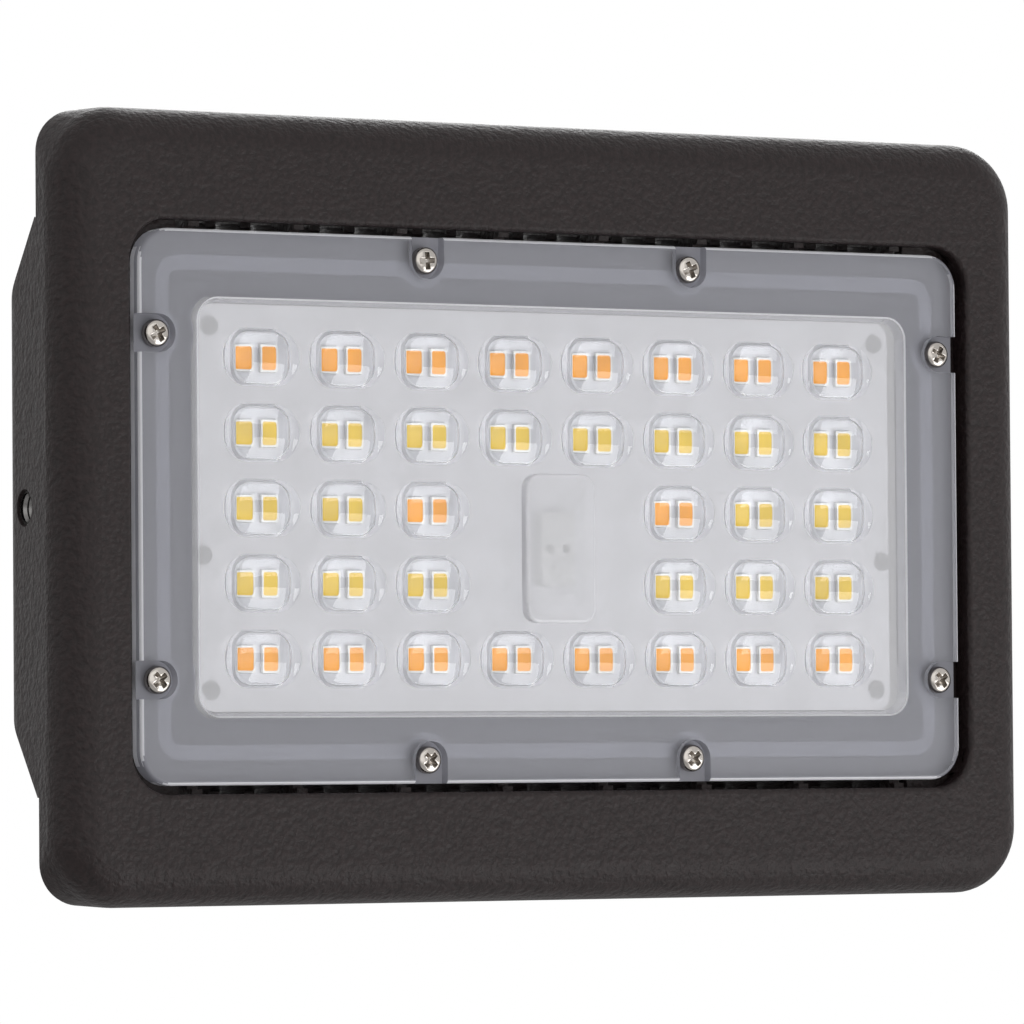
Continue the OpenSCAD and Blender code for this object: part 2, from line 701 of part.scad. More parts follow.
module gland_locknut() color(black_plastic) in_head() at([gland_x, 0]) difference() {
    along_y(cover_y - locknut_t, cover_y) hex_2d(gland_hex - 1);
    rod_y(gland_r + slip, cover_y - locknut_t - 1, cover_y + 1);
}

module breather_vent() color(black_plastic) in_head() at([vent_x, 0]) difference() {
    union() {
        rod_y(vent_stem_r, cover_y - vent_stem_l, cover_back_y + 1);
        rod_y(vent_r, cover_back_y, cover_back_y + vent_cap_t);
    }
    rod_y(vent_stem_r * 0.4, cover_y - vent_stem_l - 1, cover_back_y + 1.6);
    for (a = [0:60:300]) rotate([0, a, 0]) translate([vent_r * 0.6, 0, 0])
        rod_y(vent_hole_r, cover_back_y + vent_cap_t * 0.6, cover_back_y + vent_cap_t + 1);
}

// SELECTOR
module selector_board() color([0.12, 0.32, 0.20]) in_head() difference() {
    at([selector_x, 0]) along_y(selector_board_y, selector_board_y + selector_board_t)
        rect_2d(2 * (post_x + post_r), selector_board_h, 2);
    for (s = [-1, 1]) at([selector_x + s * post_x, 0])
        rod_y(1.2, selector_board_y - 1, selector_board_y + 3);
}

module selector_board_screws() color(bright_steel) in_head() for (s = [-1, 1])
    at([selector_x + s * post_x, 0], selector_board_y)
        slotted_screw(selector_screw[0], selector_screw[1], selector_screw[2], selector_screw[3]);

module cct_switch() color([0.15, 0.15, 0.16]) in_head() at([selector_x, 0]) difference() {
    along_y(switch_y - switch_size[2], switch_y) square([switch_size[0], switch_size[1]], center = true);
    along_y(switch_y - 1.2, switch_y + 1)
        square([slider_size[0] + 2 * (selector_travel + run_gap), slider_size[1] + 2 * run_gap],
            center = true);
}

module cct_slider() color([0.92, 0.92, 0.90]) in_head() at([selector_x, 0])
    along_y(switch_y - 1.2 + run_gap, switch_y + slider_size[2])
        square([slider_size[0], slider_size[1]], center = true);

module selector_cap() color([0.08, 0.08, 0.08]) in_head() at([selector_x, 0]) difference() {
    union() {
        rod_y(collar_r + 1.8, cover_back_y + 0.6, cover_back_y + collar_h + 2.2);
        along_y(cover_back_y + 0.6, cover_back_y + 2.2)
            translate([0, collar_r + 1]) square([7, 5], center = true);
    }
    rod_y(collar_r + run_gap, cover_back_y, cover_back_y + collar_h + run_gap);
}

// KNUCKLE
module ear_profile_2d() {
    translate([pivot_y, 0]) circle(knuckle_r);
    translate([cover_back_y, -knuckle_r]) square([pivot_out, 2 * knuckle_r]);
}

module knuckle_base() color(bronze) in_head() difference() {
    union() {
        along_y(cover_back_y, cover_back_y + base_t) rect_2d(base_w, base_h, base_corner_r);
        for (s = [-1, 1]) along_x(ear_t, s * (ear_x + ear_t / 2)) ear_profile_2d();
    }
    translate([0, pivot_y, 0]) rod_x(pivot_d / 2 + slip, -30, 30);
    for (sx = [-1, 1], sz = [-1, 1]) at([sx * base_screw.x, sz * base_screw.y])
        rod_y(base_screw_d / 2 + 0.5, cover_back_y - 1, cover_back_y + base_t + 1);
}

module knuckle_base_screws() color(bright_steel) in_head() for (sx = [-1, 1], sz = [-1, 1])
    at([sx * base_screw.x, sz * base_screw.y], cover_back_y + base_t) rotate([0, 0, 180])
        slotted_screw(base_screw_d - 2 * eps, base_screw_head_d, base_screw_head_h, base_t + cover_t - 0.8);

bolt_end = ear_x + ear_t;
module knuckle_bolt() color(bright_steel) in_head() translate([0, pivot_y, 0]) {
    rod_x(pivot_d / 2, -bolt_end, bolt_end + washer_t + bolt_nut_t + bolt_spare);
    translate([-bolt_end - bolt_head_t, 0, 0]) rotate([90, 0, 90])
        linear_extrude(bolt_head_t) hex_2d(bolt_hex);
    rod_x(washer_r, -bolt_end - washer_t, -bolt_end);
}

module knuckle_nut() color(bright_steel) in_head() translate([0, pivot_y, 0]) difference() {
    union() {
        rod_x(washer_r, bolt_end, bolt_end + washer_t);
        translate([bolt_end + washer_t, 0, 0]) rotate([90, 0, 90])
            linear_extrude(bolt_nut_t) hex_2d(bolt_hex);
    }
    rod_x(pivot_d / 2 + slip, bolt_end - 1, bolt_end + washer_t + bolt_nut_t + 1);
}

module knuckle_arm() color(bronze) difference() {
    union() {
        translate([0, -arm_l, 0]) rod_x(knuckle_r, -tongue_t / 2, tongue_t / 2);
        along_x(tongue_t) translate([-arm_l, -knuckle_r + 1]) square([arm_l - 4, 2 * knuckle_r - 2]);
        rod_y(shoulder_flange_r, -shoulder_t, 0);
        rod_y(nipple_r, -eps, nipple_l);
    }
    translate([0, -arm_l, 0]) rod_x(pivot_d / 2 + slip, -tongue_t, tongue_t);
    rod_y(wire_bore_r, -shoulder_t / 2 - exit_r - 0.5, nipple_l + 1);
    translate([0, -shoulder_t / 2, -shoulder_flange_r - 1]) cylinder(r = exit_r, h = shoulder_flange_r);
}

module nipple_gasket() color(black_plastic) difference() {
    rod_y(shoulder_flange_r - 1, 0, nipple_gasket_t);
    rod_y(nipple_r + nipple_gasket_play, -1, nipple_gasket_t + 1);
}

housing();
optic_lens();
lens_gasket();
lens_screws();
led_board();
warm_leds();
cool_leds();
board_screws();
board_connector();
thermal_pad();
led_leads();
driver();
driver_screws();
rear_cover();
cover_gasket();
cover_screws();
cable_gland();
gland_seal();
gland_nut();
gland_locknut();
breather_vent();
selector_board();
selector_board_screws();
cct_switch();
cct_slider();
selector_cap();
knuckle_base();
knuckle_base_screws();
knuckle_bolt();
knuckle_nut();
knuckle_arm();
nipple_gasket();
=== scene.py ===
import math
import bpy
import bmesh
from mathutils import Matrix, Vector


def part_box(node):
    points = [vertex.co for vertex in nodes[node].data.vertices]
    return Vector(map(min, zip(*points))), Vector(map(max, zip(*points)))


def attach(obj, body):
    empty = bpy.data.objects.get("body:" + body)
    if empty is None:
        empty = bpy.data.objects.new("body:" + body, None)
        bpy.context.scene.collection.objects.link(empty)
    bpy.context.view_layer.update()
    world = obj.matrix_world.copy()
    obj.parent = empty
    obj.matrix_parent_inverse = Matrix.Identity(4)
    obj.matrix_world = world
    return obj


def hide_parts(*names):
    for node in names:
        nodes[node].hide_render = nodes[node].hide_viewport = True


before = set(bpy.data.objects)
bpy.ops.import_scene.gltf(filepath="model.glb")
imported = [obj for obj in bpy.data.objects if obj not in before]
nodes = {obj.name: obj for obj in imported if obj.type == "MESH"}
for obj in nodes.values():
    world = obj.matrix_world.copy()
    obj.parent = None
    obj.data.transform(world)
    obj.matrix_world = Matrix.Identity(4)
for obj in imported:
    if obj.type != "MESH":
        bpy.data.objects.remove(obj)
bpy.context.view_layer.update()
scene = bpy.context.scene
millimetre = 0.001
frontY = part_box("housing")[0][1]  # depth of the front face in the shared frame
# in millimetres: how far a piece sinks into the one it joins, how far a cutter starts
# before the face that it opens, and where long cutters end, well outside the part
overlap = 0.02
lead = 1
outside = {"across": 120, "up": 80, "back": 40}
print("frame loaded, front face at", round(frontY, 4))


# outlines, in millimetres, as lists of (across, up)

def cornerArc(a, b, c, radius, steps):
    if radius <= 0:
        return [b]
    u = (Vector(a) - Vector(b)).normalized()
    w = (Vector(c) - Vector(b)).normalized()
    half = math.acos(max(-1.0, min(1.0, u.dot(w)))) / 2
    centre = Vector(b) + (u + w).normalized() * (radius / math.sin(half))
    start = Vector(b) + u * (radius / math.tan(half)) - centre
    way = 1 if u.x * w.y - u.y * w.x > 0 else -1
    points = []
    for i in range(steps + 1):
        angle = -way * (math.pi - 2 * half) * i / steps
        points.append((centre.x + start.x * math.cos(angle) - start.y * math.sin(angle),
                       centre.y + start.x * math.sin(angle) + start.y * math.cos(angle)))
    return points


def roundedOutline(corners, steps):
    count = len(corners)
    points = []
    for i in range(count):
        a, b, c = corners[i - 1], corners[i], corners[(i + 1) % count]
        points += cornerArc(a[:2], b[:2], c[:2], b[2], steps)
    return points


def roundedRect(width, height, radius, steps=8):
    w, h = width / 2, height / 2
    return roundedOutline([(-w, -h, radius), (w, -h, radius), (w, h, radius), (-w, h, radius)],
                          steps)


def circleOutline(radius, count=48):
    turns = [2 * math.pi * i / count for i in range(count)]
    return [(radius * math.cos(turn), radius * math.sin(turn)) for turn in turns]


def quarterTurn(steps):
    return [math.pi / 2 * i / steps for i in range(steps + 1)]


# solids: x to the right, y behind the front face, z up, in millimetres

def inMetres(points):
    return [(x * millimetre, y * millimetre + frontY, z * millimetre) for x, y, z in points]


def addMesh(name, mesh):
    obj = bpy.data.objects.new(name, mesh)
    scene.collection.objects.link(obj)
    return obj


def addObject(name, points, faces):
    mesh = bpy.data.meshes.new(name)
    mesh.from_pydata(inMetres(points), [], faces)
    mesh.validate()
    obj = addMesh(name, mesh)
    faceOutward(obj)
    return obj


def faceOutward(obj):
    build = bmesh.new()
    build.from_mesh(obj.data)
    bmesh.ops.recalc_face_normals(build, faces=build.faces)
    build.to_mesh(obj.data)
    build.free()
    obj.data.update()


def loft(name, rings):
    count = len(rings[0])
    points = [p for ring in rings for p in ring]
    faces = [tuple(range(count - 1, -1, -1)),
             tuple((len(rings) - 1) * count + j for j in range(count))]
    for k in range(len(rings) - 1):
        for j in range(count):
            a, b, t = k * count, (k + 1) * count, (j + 1) % count
            faces.append((a + j, a + t, b + t, b + j))
    return addObject(name, points, faces)


def ringAt(outline, y, centre=(0, 0)):
    return [(p[0] + centre[0], y, p[1] + centre[1]) for p in outline]


def prismY(name, outline, y0, y1, centre=(0, 0)):
    return loft(name, [ringAt(outline, y0, centre), ringAt(outline, y1, centre)])


def prismX(name, outline, x0, x1):
    return loft(name, [[(x, p[0], p[1]) for p in outline] for x in (x0, x1)])


def prismZ(name, outline, z0, z1):
    return loft(name, [[(p[0], p[1], z) for p in outline] for z in (z0, z1)])


def joined(name, objects):
    build = bmesh.new()
    for obj in objects:
        build.from_mesh(obj.data)
        removeObject(obj)
    mesh = bpy.data.meshes.new(name)
    build.to_mesh(mesh)
    build.free()
    return addMesh(name, mesh)


def removeObject(obj):
    mesh = obj.data
    bpy.data.objects.remove(obj)
    if mesh.users == 0:
        bpy.data.meshes.remove(mesh)


def applyModifiers(obj):
    depsgraph = bpy.context.evaluated_depsgraph_get()
    mesh = bpy.data.meshes.new_from_object(obj.evaluated_get(depsgraph))
    obj.modifiers.clear()
    old = obj.data
    obj.data = mesh
    bpy.data.meshes.remove(old)


def combine(target, tool, operation="DIFFERENCE"):
    step = target.modifiers.new("combine", "BOOLEAN")
    step.operation = operation
    step.solver = "MANIFOLD"
    step.object = tool
    applyModifiers(target)
    removeObject(tool)
    return target


def finishEdges(obj, width=0.0, angle=35, segments=2, smoothAngle=32):
    if width:
        step = obj.modifiers.new("edges", "BEVEL")
        step.width = width * millimetre
        step.segments = segments
        step.limit_method = "ANGLE"
        step.angle_limit = math.radians(angle)
        applyModifiers(obj)
    obj.data.shade_smooth()
    obj.data.set_sharp_from_angle(angle=math.radians(smoothAngle))
    keepFlat(obj)


# edges round a large flat face are sharp, so that its shading stays even
def keepFlat(obj, leastArea=30, leastAngle=1.5):
    build = bmesh.new()
    build.from_mesh(obj.data)
    for edge in build.edges:
        faces = edge.link_faces
        if len(faces) == 2 and max(f.calc_area() for f in faces) > leastArea * millimetre ** 2:
            if faces[0].normal.angle(faces[1].normal, 0) > math.radians(leastAngle):
                edge.smooth = False
    build.to_mesh(obj.data)
    build.free()


def dressed(obj, material, body, slot, *replaced):
    obj.data.materials.clear()
    obj.data.materials.append(material)
    settle(obj, body, slot, *replaced)


def settle(obj, body, slot, *replaced):
    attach(obj, body)
    if replaced:
        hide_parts(*replaced)


# materials

def newMaterial(name, colour, roughness, **sockets):
    material = bpy.data.materials.new(name)
    material.use_nodes = True
    shader = material.node_tree.nodes["Principled BSDF"]
    shader.inputs["Base Color"].default_value = (*colour, 1)
    shader.inputs["Roughness"].default_value = roughness
    for socket, value in sockets.items():
        shader.inputs[socket.replace("_", " ")].default_value = value
    return material


def objectNoise(material, scale, detail):
    tree = material.node_tree
    where = tree.nodes.new("ShaderNodeTexCoord")
    noise = tree.nodes.new("ShaderNodeTexNoise")
    noise.inputs["Scale"].default_value = scale
    noise.inputs["Detail"].default_value = detail
    tree.links.new(where.outputs["Object"], noise.inputs["Vector"])
    return noise.outputs["Fac"]


def addBump(material, height, strength, distance):
    tree = material.node_tree
    shader = tree.nodes["Principled BSDF"]
    bump = tree.nodes.new("ShaderNodeBump")
    bump.inputs["Strength"].default_value = strength
    bump.inputs["Distance"].default_value = distance
    tree.links.new(height, bump.inputs["Height"])
    if shader.inputs["Normal"].is_linked:
        tree.links.new(shader.inputs["Normal"].links[0].from_socket, bump.inputs["Normal"])
    tree.links.new(bump.outputs["Normal"], shader.inputs["Normal"])


def varyColour(material, noise, dark, light, low=0.35, high=0.65):
    tree = material.node_tree
    ramp = tree.nodes.new("ShaderNodeValToRGB")
    ramp.color_ramp.elements[0].position = low
    ramp.color_ramp.elements[0].color = (*dark, 1)
    ramp.color_ramp.elements[1].position = high
    ramp.color_ramp.elements[1].color = (*light, 1)
    tree.links.new(noise, ramp.inputs["Fac"])
    tree.links.new(ramp.outputs["Color"], tree.nodes["Principled BSDF"].inputs["Base Color"])


def varyRoughness(material, noise, low, high):
    tree = material.node_tree
    span = tree.nodes.new("ShaderNodeMapRange")
    span.inputs["To Min"].default_value = low
    span.inputs["To Max"].default_value = high
    tree.links.new(noise, span.inputs["Value"])
    tree.links.new(span.outputs["Result"], tree.nodes["Principled BSDF"].inputs["Roughness"])


def letLightThrough(material):
    tree = material.node_tree
    path = tree.nodes.new("ShaderNodeLightPath")
    clear = tree.nodes.new("ShaderNodeBsdfTransparent")
    mix = tree.nodes.new("ShaderNodeMixShader")
    tree.links.new(path.outputs["Is Shadow Ray"], mix.inputs["Fac"])
    tree.links.new(tree.nodes["Principled BSDF"].outputs["BSDF"], mix.inputs[1])
    tree.links.new(clear.outputs["BSDF"], mix.inputs[2])
    tree.links.new(mix.outputs["Shader"], tree.nodes["Material Output"].inputs["Surface"])


coatLook = {
    "dark": (0.0065, 0.003, 0.003), "light": (0.015, 0.0085, 0.0085),
    "roughness": 0.5, "smooth": 0.42, "rough": 0.58, "specular": 0.26,
    "grainScale": 850, "grainDepth": 0.0006, "grainStrength": 0.7,
    "waveScale": 420, "waveDepth": 0.0003, "waveStrength": 0.5, "sheenScale": 400,
}


def makePowderCoat():
    look = coatLook
    coat = newMaterial("powderCoat", look["light"], look["roughness"],
                       Specular_IOR_Level=look["specular"])
    # the colour follows the grain bump's noise, so the pits are painted darker and the crests
    # lighter: painted shade and painted highlight over the coat's random tone
    varyColour(coat, objectNoise(coat, look["grainScale"], detail=2), look["dark"],
               look["light"])
    varyRoughness(coat, objectNoise(coat, look["sheenScale"], detail=2), look["smooth"],
                  look["rough"])
    addBump(coat, objectNoise(coat, look["waveScale"], detail=2), look["waveStrength"],
            look["waveDepth"])
    addBump(coat, objectNoise(coat, look["grainScale"], detail=3), look["grainStrength"],
            look["grainDepth"])
    return coat


plasticLook = {"cloudScale": 140, "dark": 0.88, "light": 1.08, "smooth": 0.85, "rough": 1.15,
               "strength": 0.5}
metalLook = {"cloudScale": 260, "dark": 0.85, "smooth": 0.7, "rough": 1.3, "strength": 0.4,
             "grainScale": 700, "grainDepth": 0.00002}
clearLook = {"roughness": 0.03, "waveScale": 120, "waveStrength": 0.15, "waveDepth": 0.00005}
frostLook = {"sheenScale": 1500, "smooth": 0.85, "rough": 1.15, "grainScale": 1800,
             "strength": 0.2}


def makePlastic(name, colour, roughness, grainScale=900, grainDepth=0.00003):
    look = plasticLook
    plastic = newMaterial(name, colour, roughness)
    noise = objectNoise(plastic, grainScale, detail=3)
    varyColour(plastic, objectNoise(plastic, look["cloudScale"], detail=3),
               tuple(c * look["dark"] for c in colour),
               tuple(min(1, c * look["light"]) for c in colour))
    varyRoughness(plastic, noise, roughness * look["smooth"], min(1, roughness * look["rough"]))
    addBump(plastic, noise, look["strength"], grainDepth)
    return plastic


def makeMetal(name, colour, roughness):
    look = metalLook
    metal = newMaterial(name, colour, roughness, Metallic=1.0)
    noise = objectNoise(metal, look["grainScale"], detail=3)
    varyColour(metal, objectNoise(metal, look["cloudScale"], detail=3),
               tuple(c * look["dark"] for c in colour), colour)
    varyRoughness(metal, noise, roughness * look["smooth"], roughness * look["rough"])
    addBump(metal, noise, look["strength"], look["grainDepth"])
    return metal


def makeClearPlastic():
    look = clearLook
    clear = newMaterial("clearOptic", (0.97, 0.98, 1.0), look["roughness"], IOR=1.5,
                        Transmission_Weight=1.0)
    addBump(clear, objectNoise(clear, look["waveScale"], detail=1), look["waveStrength"],
            look["waveDepth"])
    letLightThrough(clear)
    return clear


def makeFrostedPlastic(name, weight, roughness, colour, grainDepth=0.000004):
    look = frostLook
    frosted = newMaterial(name, colour, roughness, IOR=1.5, Transmission_Weight=weight)
    varyRoughness(frosted, objectNoise(frosted, look["sheenScale"], detail=2),
                  roughness * look["smooth"], roughness * look["rough"])
    if grainDepth:
        addBump(frosted, objectNoise(frosted, look["grainScale"], detail=2),
                look["strength"], grainDepth)
    letLightThrough(frosted)
    return frosted


powderCoat = makePowderCoat()
clearOptic = makeClearPlastic()
frostedPlate = makeFrostedPlastic("frostedPlate", weight=0.68, roughness=0.14,
                                  colour=(0.84, 0.84, 0.86), grainDepth=0)
frostedFlange = makeFrostedPlastic("frostedFlange", weight=0.4, roughness=0.5,
                                   colour=(0.25, 0.25, 0.283))
flangeSkin = makeFrostedPlastic("flangeSkin", weight=1.0, roughness=0.1,
                                colour=(0.97, 0.98, 1.0))
# pale satin frosting for the dome and pocket walls, the panel's bevel and rear edge and the
# recess's top edge; its pale colour paints bright lines there: painted highlight
satinRimPaintedHighlight = makeFrostedPlastic("satinRimPaintedHighlight", weight=0.3, roughness=0.3,
                              colour=(0.84, 0.84, 0.87))
gasketSilicone = makePlastic("gasketSilicone", (0.62, 0.63, 0.68), 0.6)
blackRubber = makePlastic("blackRubber", (0.018, 0.018, 0.018), 0.65,
                          grainScale=500, grainDepth=0.00006)
blackNylon = makePlastic("blackNylon", (0.02, 0.02, 0.021), 0.4)
# white nylon painted mid grey, darker than the board, for the shade on the connector under the
# centre cover: painted shade
whiteNylonPaintedShade = makePlastic("whiteNylonPaintedShade", (0.45, 0.45, 0.44), 0.45)
# white solder mask painted grey, so the board under the lens and the domes reads darker: painted
# shade
whiteMaskPaintedShade = makePlastic("whiteMaskPaintedShade", (0.52, 0.52, 0.54), 0.35)
packageWhite = makePlastic("packageWhite", (0.65, 0.64, 0.62), 0.4)
warmPhosphor = makePlastic("warmPhosphor", (0.78, 0.30, 0.006), 0.5, grainScale=2500)
coolPhosphor = makePlastic("coolPhosphor", (0.65, 0.43, 0.02), 0.5, grainScale=2500)
nickelScrew = makeMetal("nickelScrew", (0.45, 0.42, 0.39), 0.18)
darkScrew = makeMetal("darkScrew", (0.04, 0.04, 0.04), 0.5)
zincSteel = makeMetal("zincSteel", (0.55, 0.55, 0.54), 0.32)
# cast metal for the hole threads, darkened so that the holes read dark inside: painted shade
castMetalPaintedShade = makeMetal("castMetalPaintedShade", (0.2, 0.195, 0.19), 0.28)
thermalPad = makePlastic("thermalPad", (0.35, 0.40, 0.48), 0.7)
redWire = makePlastic("redWire", (0.5, 0.02, 0.02), 0.4)
driverCase = makePlastic("driverCase", (0.72, 0.72, 0.69), 0.45)
greenBoard = makePlastic("greenBoard", (0.02, 0.11, 0.05), 0.35)
print("materials made")


# housing: a rounded frame, a full width hump behind it, fins between the vents

housing = {
    "width": 233, "height": 158, "depth": 36, "edge": 8, "corner": 14, "skirtCorner": 8,
    "skirtDepth": 13, "draft": 6.5, "wall": 3.2, "face": 3.4, "steps": 14, "edgeSteps": 18,
    "bevel": 0.35, "bevelAngle": 40,
    "skirtEnd": ((0.7, 0), (0.2, 0.2), (0, 0.7)),  # before its back edge, and how far in
    "lip": 1.0, "lipSteps": 6, "windowWidth": 203, "windowHeight": 113.5, "windowCorner": 8.5,
    "seatHeight": 111.5, "seatCorner": 7.2, "ledge": 5.2,
    "wellWidth": 179, "wellHeight": 89, "wellCorner": 5.4, "wellSteps": 10, "floor": 8.1,
    "post": 6.2, "postEnds": (0, 20),
    "portWidth": 124, "portHeight": 33, "portCorner": 4, "portFront": 28,
}
hump = {
    "footHeight": 114.4, "topHeight": 60, "topWidth": 176, "tubHeight": 107.2,
    "shoulderDepth": 28.5, "shoulderGap": 3.6, "shoulder": 8, "flank": 10, "bay": 11.1,
    "steps": 12, "startInside": 0.75, "startInset": 0.6, "topInset": 0.35,
}
fin = {
    "ribPitch": 24.35, "ribs": 8, "perRib": 3, "thickness": 2.4, "front": 10.5, "root": 2,
    "sink": 0.4, "skirtGap": 0.3, "backGap": 6, "rise": 8,
}
vent = {"corner": 6, "webAcross": (88.5, 104), "webUp": (53, 58.2), "webDepth": (5.0, 8.0)}
sideHole = {
    "y": 19, "boss": 7.4, "bossAcross": (98.5, 112.5),
    "rings": ((102.5, 3.55), (114.6, 3.55), (115.3, 3.75), (118, 4.9)),  # across, radius
    "sleeve": 3.53, "sleeveStart": 102.6, "sleeveLength": 11.6, "turns": 9,
    "crest": 2.95, "root": 3.38, "boreAcross": (102.0, 115.0),
}
lensScrews = ([(x * 32, z * 50.3) for x in (-1, 1) for z in (-1, 1)]
              + [(x * 94.8, z * 34.2) for x in (-1, 1) for z in (-1, 1)])


def draftAt(y):
    return (y - housing["edge"]) * math.tan(math.radians(housing["draft"]))


def humpPlan(inset, y0, y1):
    h = hump
    edge = housing["edge"]
    start = housing["width"] / 2 - draftAt(edge) - inset
    shoulder = housing["width"] / 2 - draftAt(h["shoulderDepth"]) - inset
    side = [(start - edge * h["startInside"] + inset * h["startInset"], y0, 0),
            (start, edge, 0),
            (shoulder, min(h["shoulderDepth"], y1 - h["shoulderGap"]), h["shoulder"] - inset),
            (h["topWidth"] / 2, y1, h["flank"] - inset)]
    return roundedOutline([(-x, y, r) for x, y, r in reversed(side)] + side, h["steps"])


def humpSide(inset, y0, y1):
    h = hump
    skirt = housing["skirtDepth"]
    foot, tub = h["footHeight"] / 2 - inset, h["tubHeight"] / 2 - inset
    slope = (h["footHeight"] - h["topHeight"]) / 2 / (housing["depth"] - skirt)
    top = foot - slope * (y1 - skirt) - inset * h["topInset"]
    half = [(y0, tub, 0), (skirt, foot, 0), (y1, top, h["flank"] - inset)]
    return roundedOutline([(y, -z, r) for y, z, r in half] + list(reversed(half)), h["steps"])


def humpBlock(inset, y0, y1):
    block = prismZ("hump", humpPlan(inset, y0, y1), -outside["up"], outside["up"])
    side = prismX("side", humpSide(inset, y0, y1), -outside["across"], outside["across"])
    return combine(block, side, "INTERSECT")


def frameRing(inset, corner, y):
    h = housing
    return ringAt(roundedRect(h["width"] - 2 * inset, h["height"] - 2 * inset, corner,
                              h["steps"]), y)


def frameBlock():
    h = housing
    rings = []
    for angle in quarterTurn(h["edgeSteps"]):
        inset = h["edge"] * (1 - math.sin(angle))
        rings.append(frameRing(inset, h["corner"] - inset, h["edge"] * (1 - math.cos(angle))))
    for before, lip in h["skirtEnd"]:
        y = h["skirtDepth"] - before
        share = (y - h["edge"]) / (h["skirtDepth"] - h["edge"])
        corner = h["corner"] + (h["skirtCorner"] - h["corner"]) * share
        rings.append(frameRing(draftAt(y) + lip, corner, y))
    return loft("housingShell", rings)


def ventTool():
    h = housing
    inset = 2 * h["wall"] + 2 * draftAt(h["skirtDepth"])
    block = prismY("vents", roundedRect(h["width"] - inset, h["height"] - inset,
                                        vent["corner"]), h["face"], outside["back"])
    tub = prismX("tub", humpSide(0, h["face"] - overlap, outside["back"]),
                 -outside["across"], outside["across"])
    return combine(block, tub)


def finBlocks():
    h = housing
    f = fin
    pitch = f["ribPitch"] / f["perRib"]
    last = (f["ribs"] / 2 - 0.5) * f["perRib"]
    top = (h["height"] - 2 * h["wall"]) / 2 + f["sink"]
    back = h["depth"] - f["backGap"]
    fins = []
    for i in range(int(2 * last) + 1):
        x = (i - last) * pitch
        front = h["face"] - overlap if i % f["perRib"] == 0 else f["front"]
        for s in (-1, 1):
            outline = [(front, s * (hump["tubHeight"] / 2 - f["root"])), (front, s * top),
                       (h["skirtDepth"] - f["skirtGap"], s * top),
                       (back, s * (hump["topHeight"] / 2 + f["rise"])),
                       (back, s * (hump["topHeight"] / 2 - f["root"]))]
            fins.append(prismX("fin", outline, x - f["thickness"] / 2, x + f["thickness"] / 2))
    return joined("fins", fins)


def webBlocks():
    (x0, x1), (z0, z1) = vent["webAcross"], vent["webUp"]
    return [prismY("web", [(a * x0, b * z0), (a * x1, b * z0), (a * x1, b * z1), (a * x0, b * z1)],
                   *vent["webDepth"]) for a in (-1, 1) for b in (-1, 1)]


def windowTool():
    h = housing
    lip = h["lip"]
    rings = []
    for angle in quarterTurn(h["lipSteps"]):
        grow = lip * (1 - math.sin(angle))
        rings.append(ringAt(roundedRect(h["windowWidth"] + 2 * grow,
                                        h["windowHeight"] + 2 * grow,
                                        h["windowCorner"] + grow, h["steps"]),
                            lip * (1 - math.cos(angle))))
    first = [(p[0], -lead, p[2]) for p in rings[0]]
    last = [(p[0], h["face"], p[2]) for p in rings[-1]]
    return loft("window", [first] + rings + [last])


def wellTool():
    h = housing
    outline = roundedRect(h["wellWidth"], h["wellHeight"], h["wellCorner"], h["wellSteps"])
    well = prismY("well", outline, h["ledge"] - lead, h["floor"])
    for place in lensScrews:
        well = combine(well, prismY("post", circleOutline(h["post"]), *h["postEnds"], place))
    return well


def sideCircle(x, radius):
    return [(x, sideHole["y"] + radius * a, radius * b) for a, b in circleOutline(1)]


def makeHousing():
    h = housing
    shell = combine(frameBlock(), ventTool())
    shell = combine(shell, humpBlock(0, h["face"], h["depth"]), "UNION")
    shell = combine(shell, finBlocks(), "UNION")
    shell = combine(shell, humpBlock(h["wall"], hump["bay"], h["depth"] - h["wall"]))
    for web in webBlocks():
        shell = combine(shell, web, "UNION")
    for s in (-1, 1):
        outline = [(sideHole["y"] + y, z) for y, z in circleOutline(sideHole["boss"])]
        ends = sorted(s * x for x in sideHole["bossAcross"])
        shell = combine(shell, prismX("boss", outline, *ends), "UNION")
    shell = combine(shell, windowTool())
    seat = roundedRect(h["windowWidth"], h["seatHeight"], h["seatCorner"], h["steps"])
    shell = combine(shell, prismY("seat", seat, h["face"] - lead, h["ledge"]))
    shell = combine(shell, wellTool())
    port = roundedRect(h["portWidth"], h["portHeight"], h["portCorner"])
    shell = combine(shell, prismY("port", port, h["portFront"], outside["back"]))
    for s in (-1, 1):
        hole = [sideCircle(s * x, radius) for x, radius in sideHole["rings"]]
        shell = combine(shell, loft("hole", hole))
    finishEdges(shell, h["bevel"], h["bevelAngle"])
    dressed(shell, powderCoat, "head", "powder_coat", "housing")
    print("housing made,", len(shell.data.polygons), "faces")


makeHousing()


# threads cut in the side holes, as closed grooves

def makeSideThreads():
    h = sideHole
    start, length, count = h["sleeveStart"], h["sleeveLength"], h["turns"] * 2
    for side, s in (("Left", -1), ("Right", 1)):
        body = loft("sleeve" + side, [sideCircle(s * x, h["sleeve"])
                                      for x in (start, start + length)])
        rings = [sideCircle(s * (start + length * i / count), h["root"] if i % 2 else h["crest"])
                 for i in range(count + 1)]
        for end, x in zip((0, -1), h["boreAcross"]):
            rings[end] = [(s * x, p[1], p[2]) for p in rings[end]]
        combine(body, loft("bore", rings))
        body.name = "sideThread" + side
        finishEdges(body)
        # the threads take the darkened metal: painted shade inside the side holes
        dressed(body, castMetalPaintedShade, "head", "powder_coat")
    print("side threads made")


makeSideThreads()


# lens panel: clear flange, frosted plate, polished domes over each pair of diodes

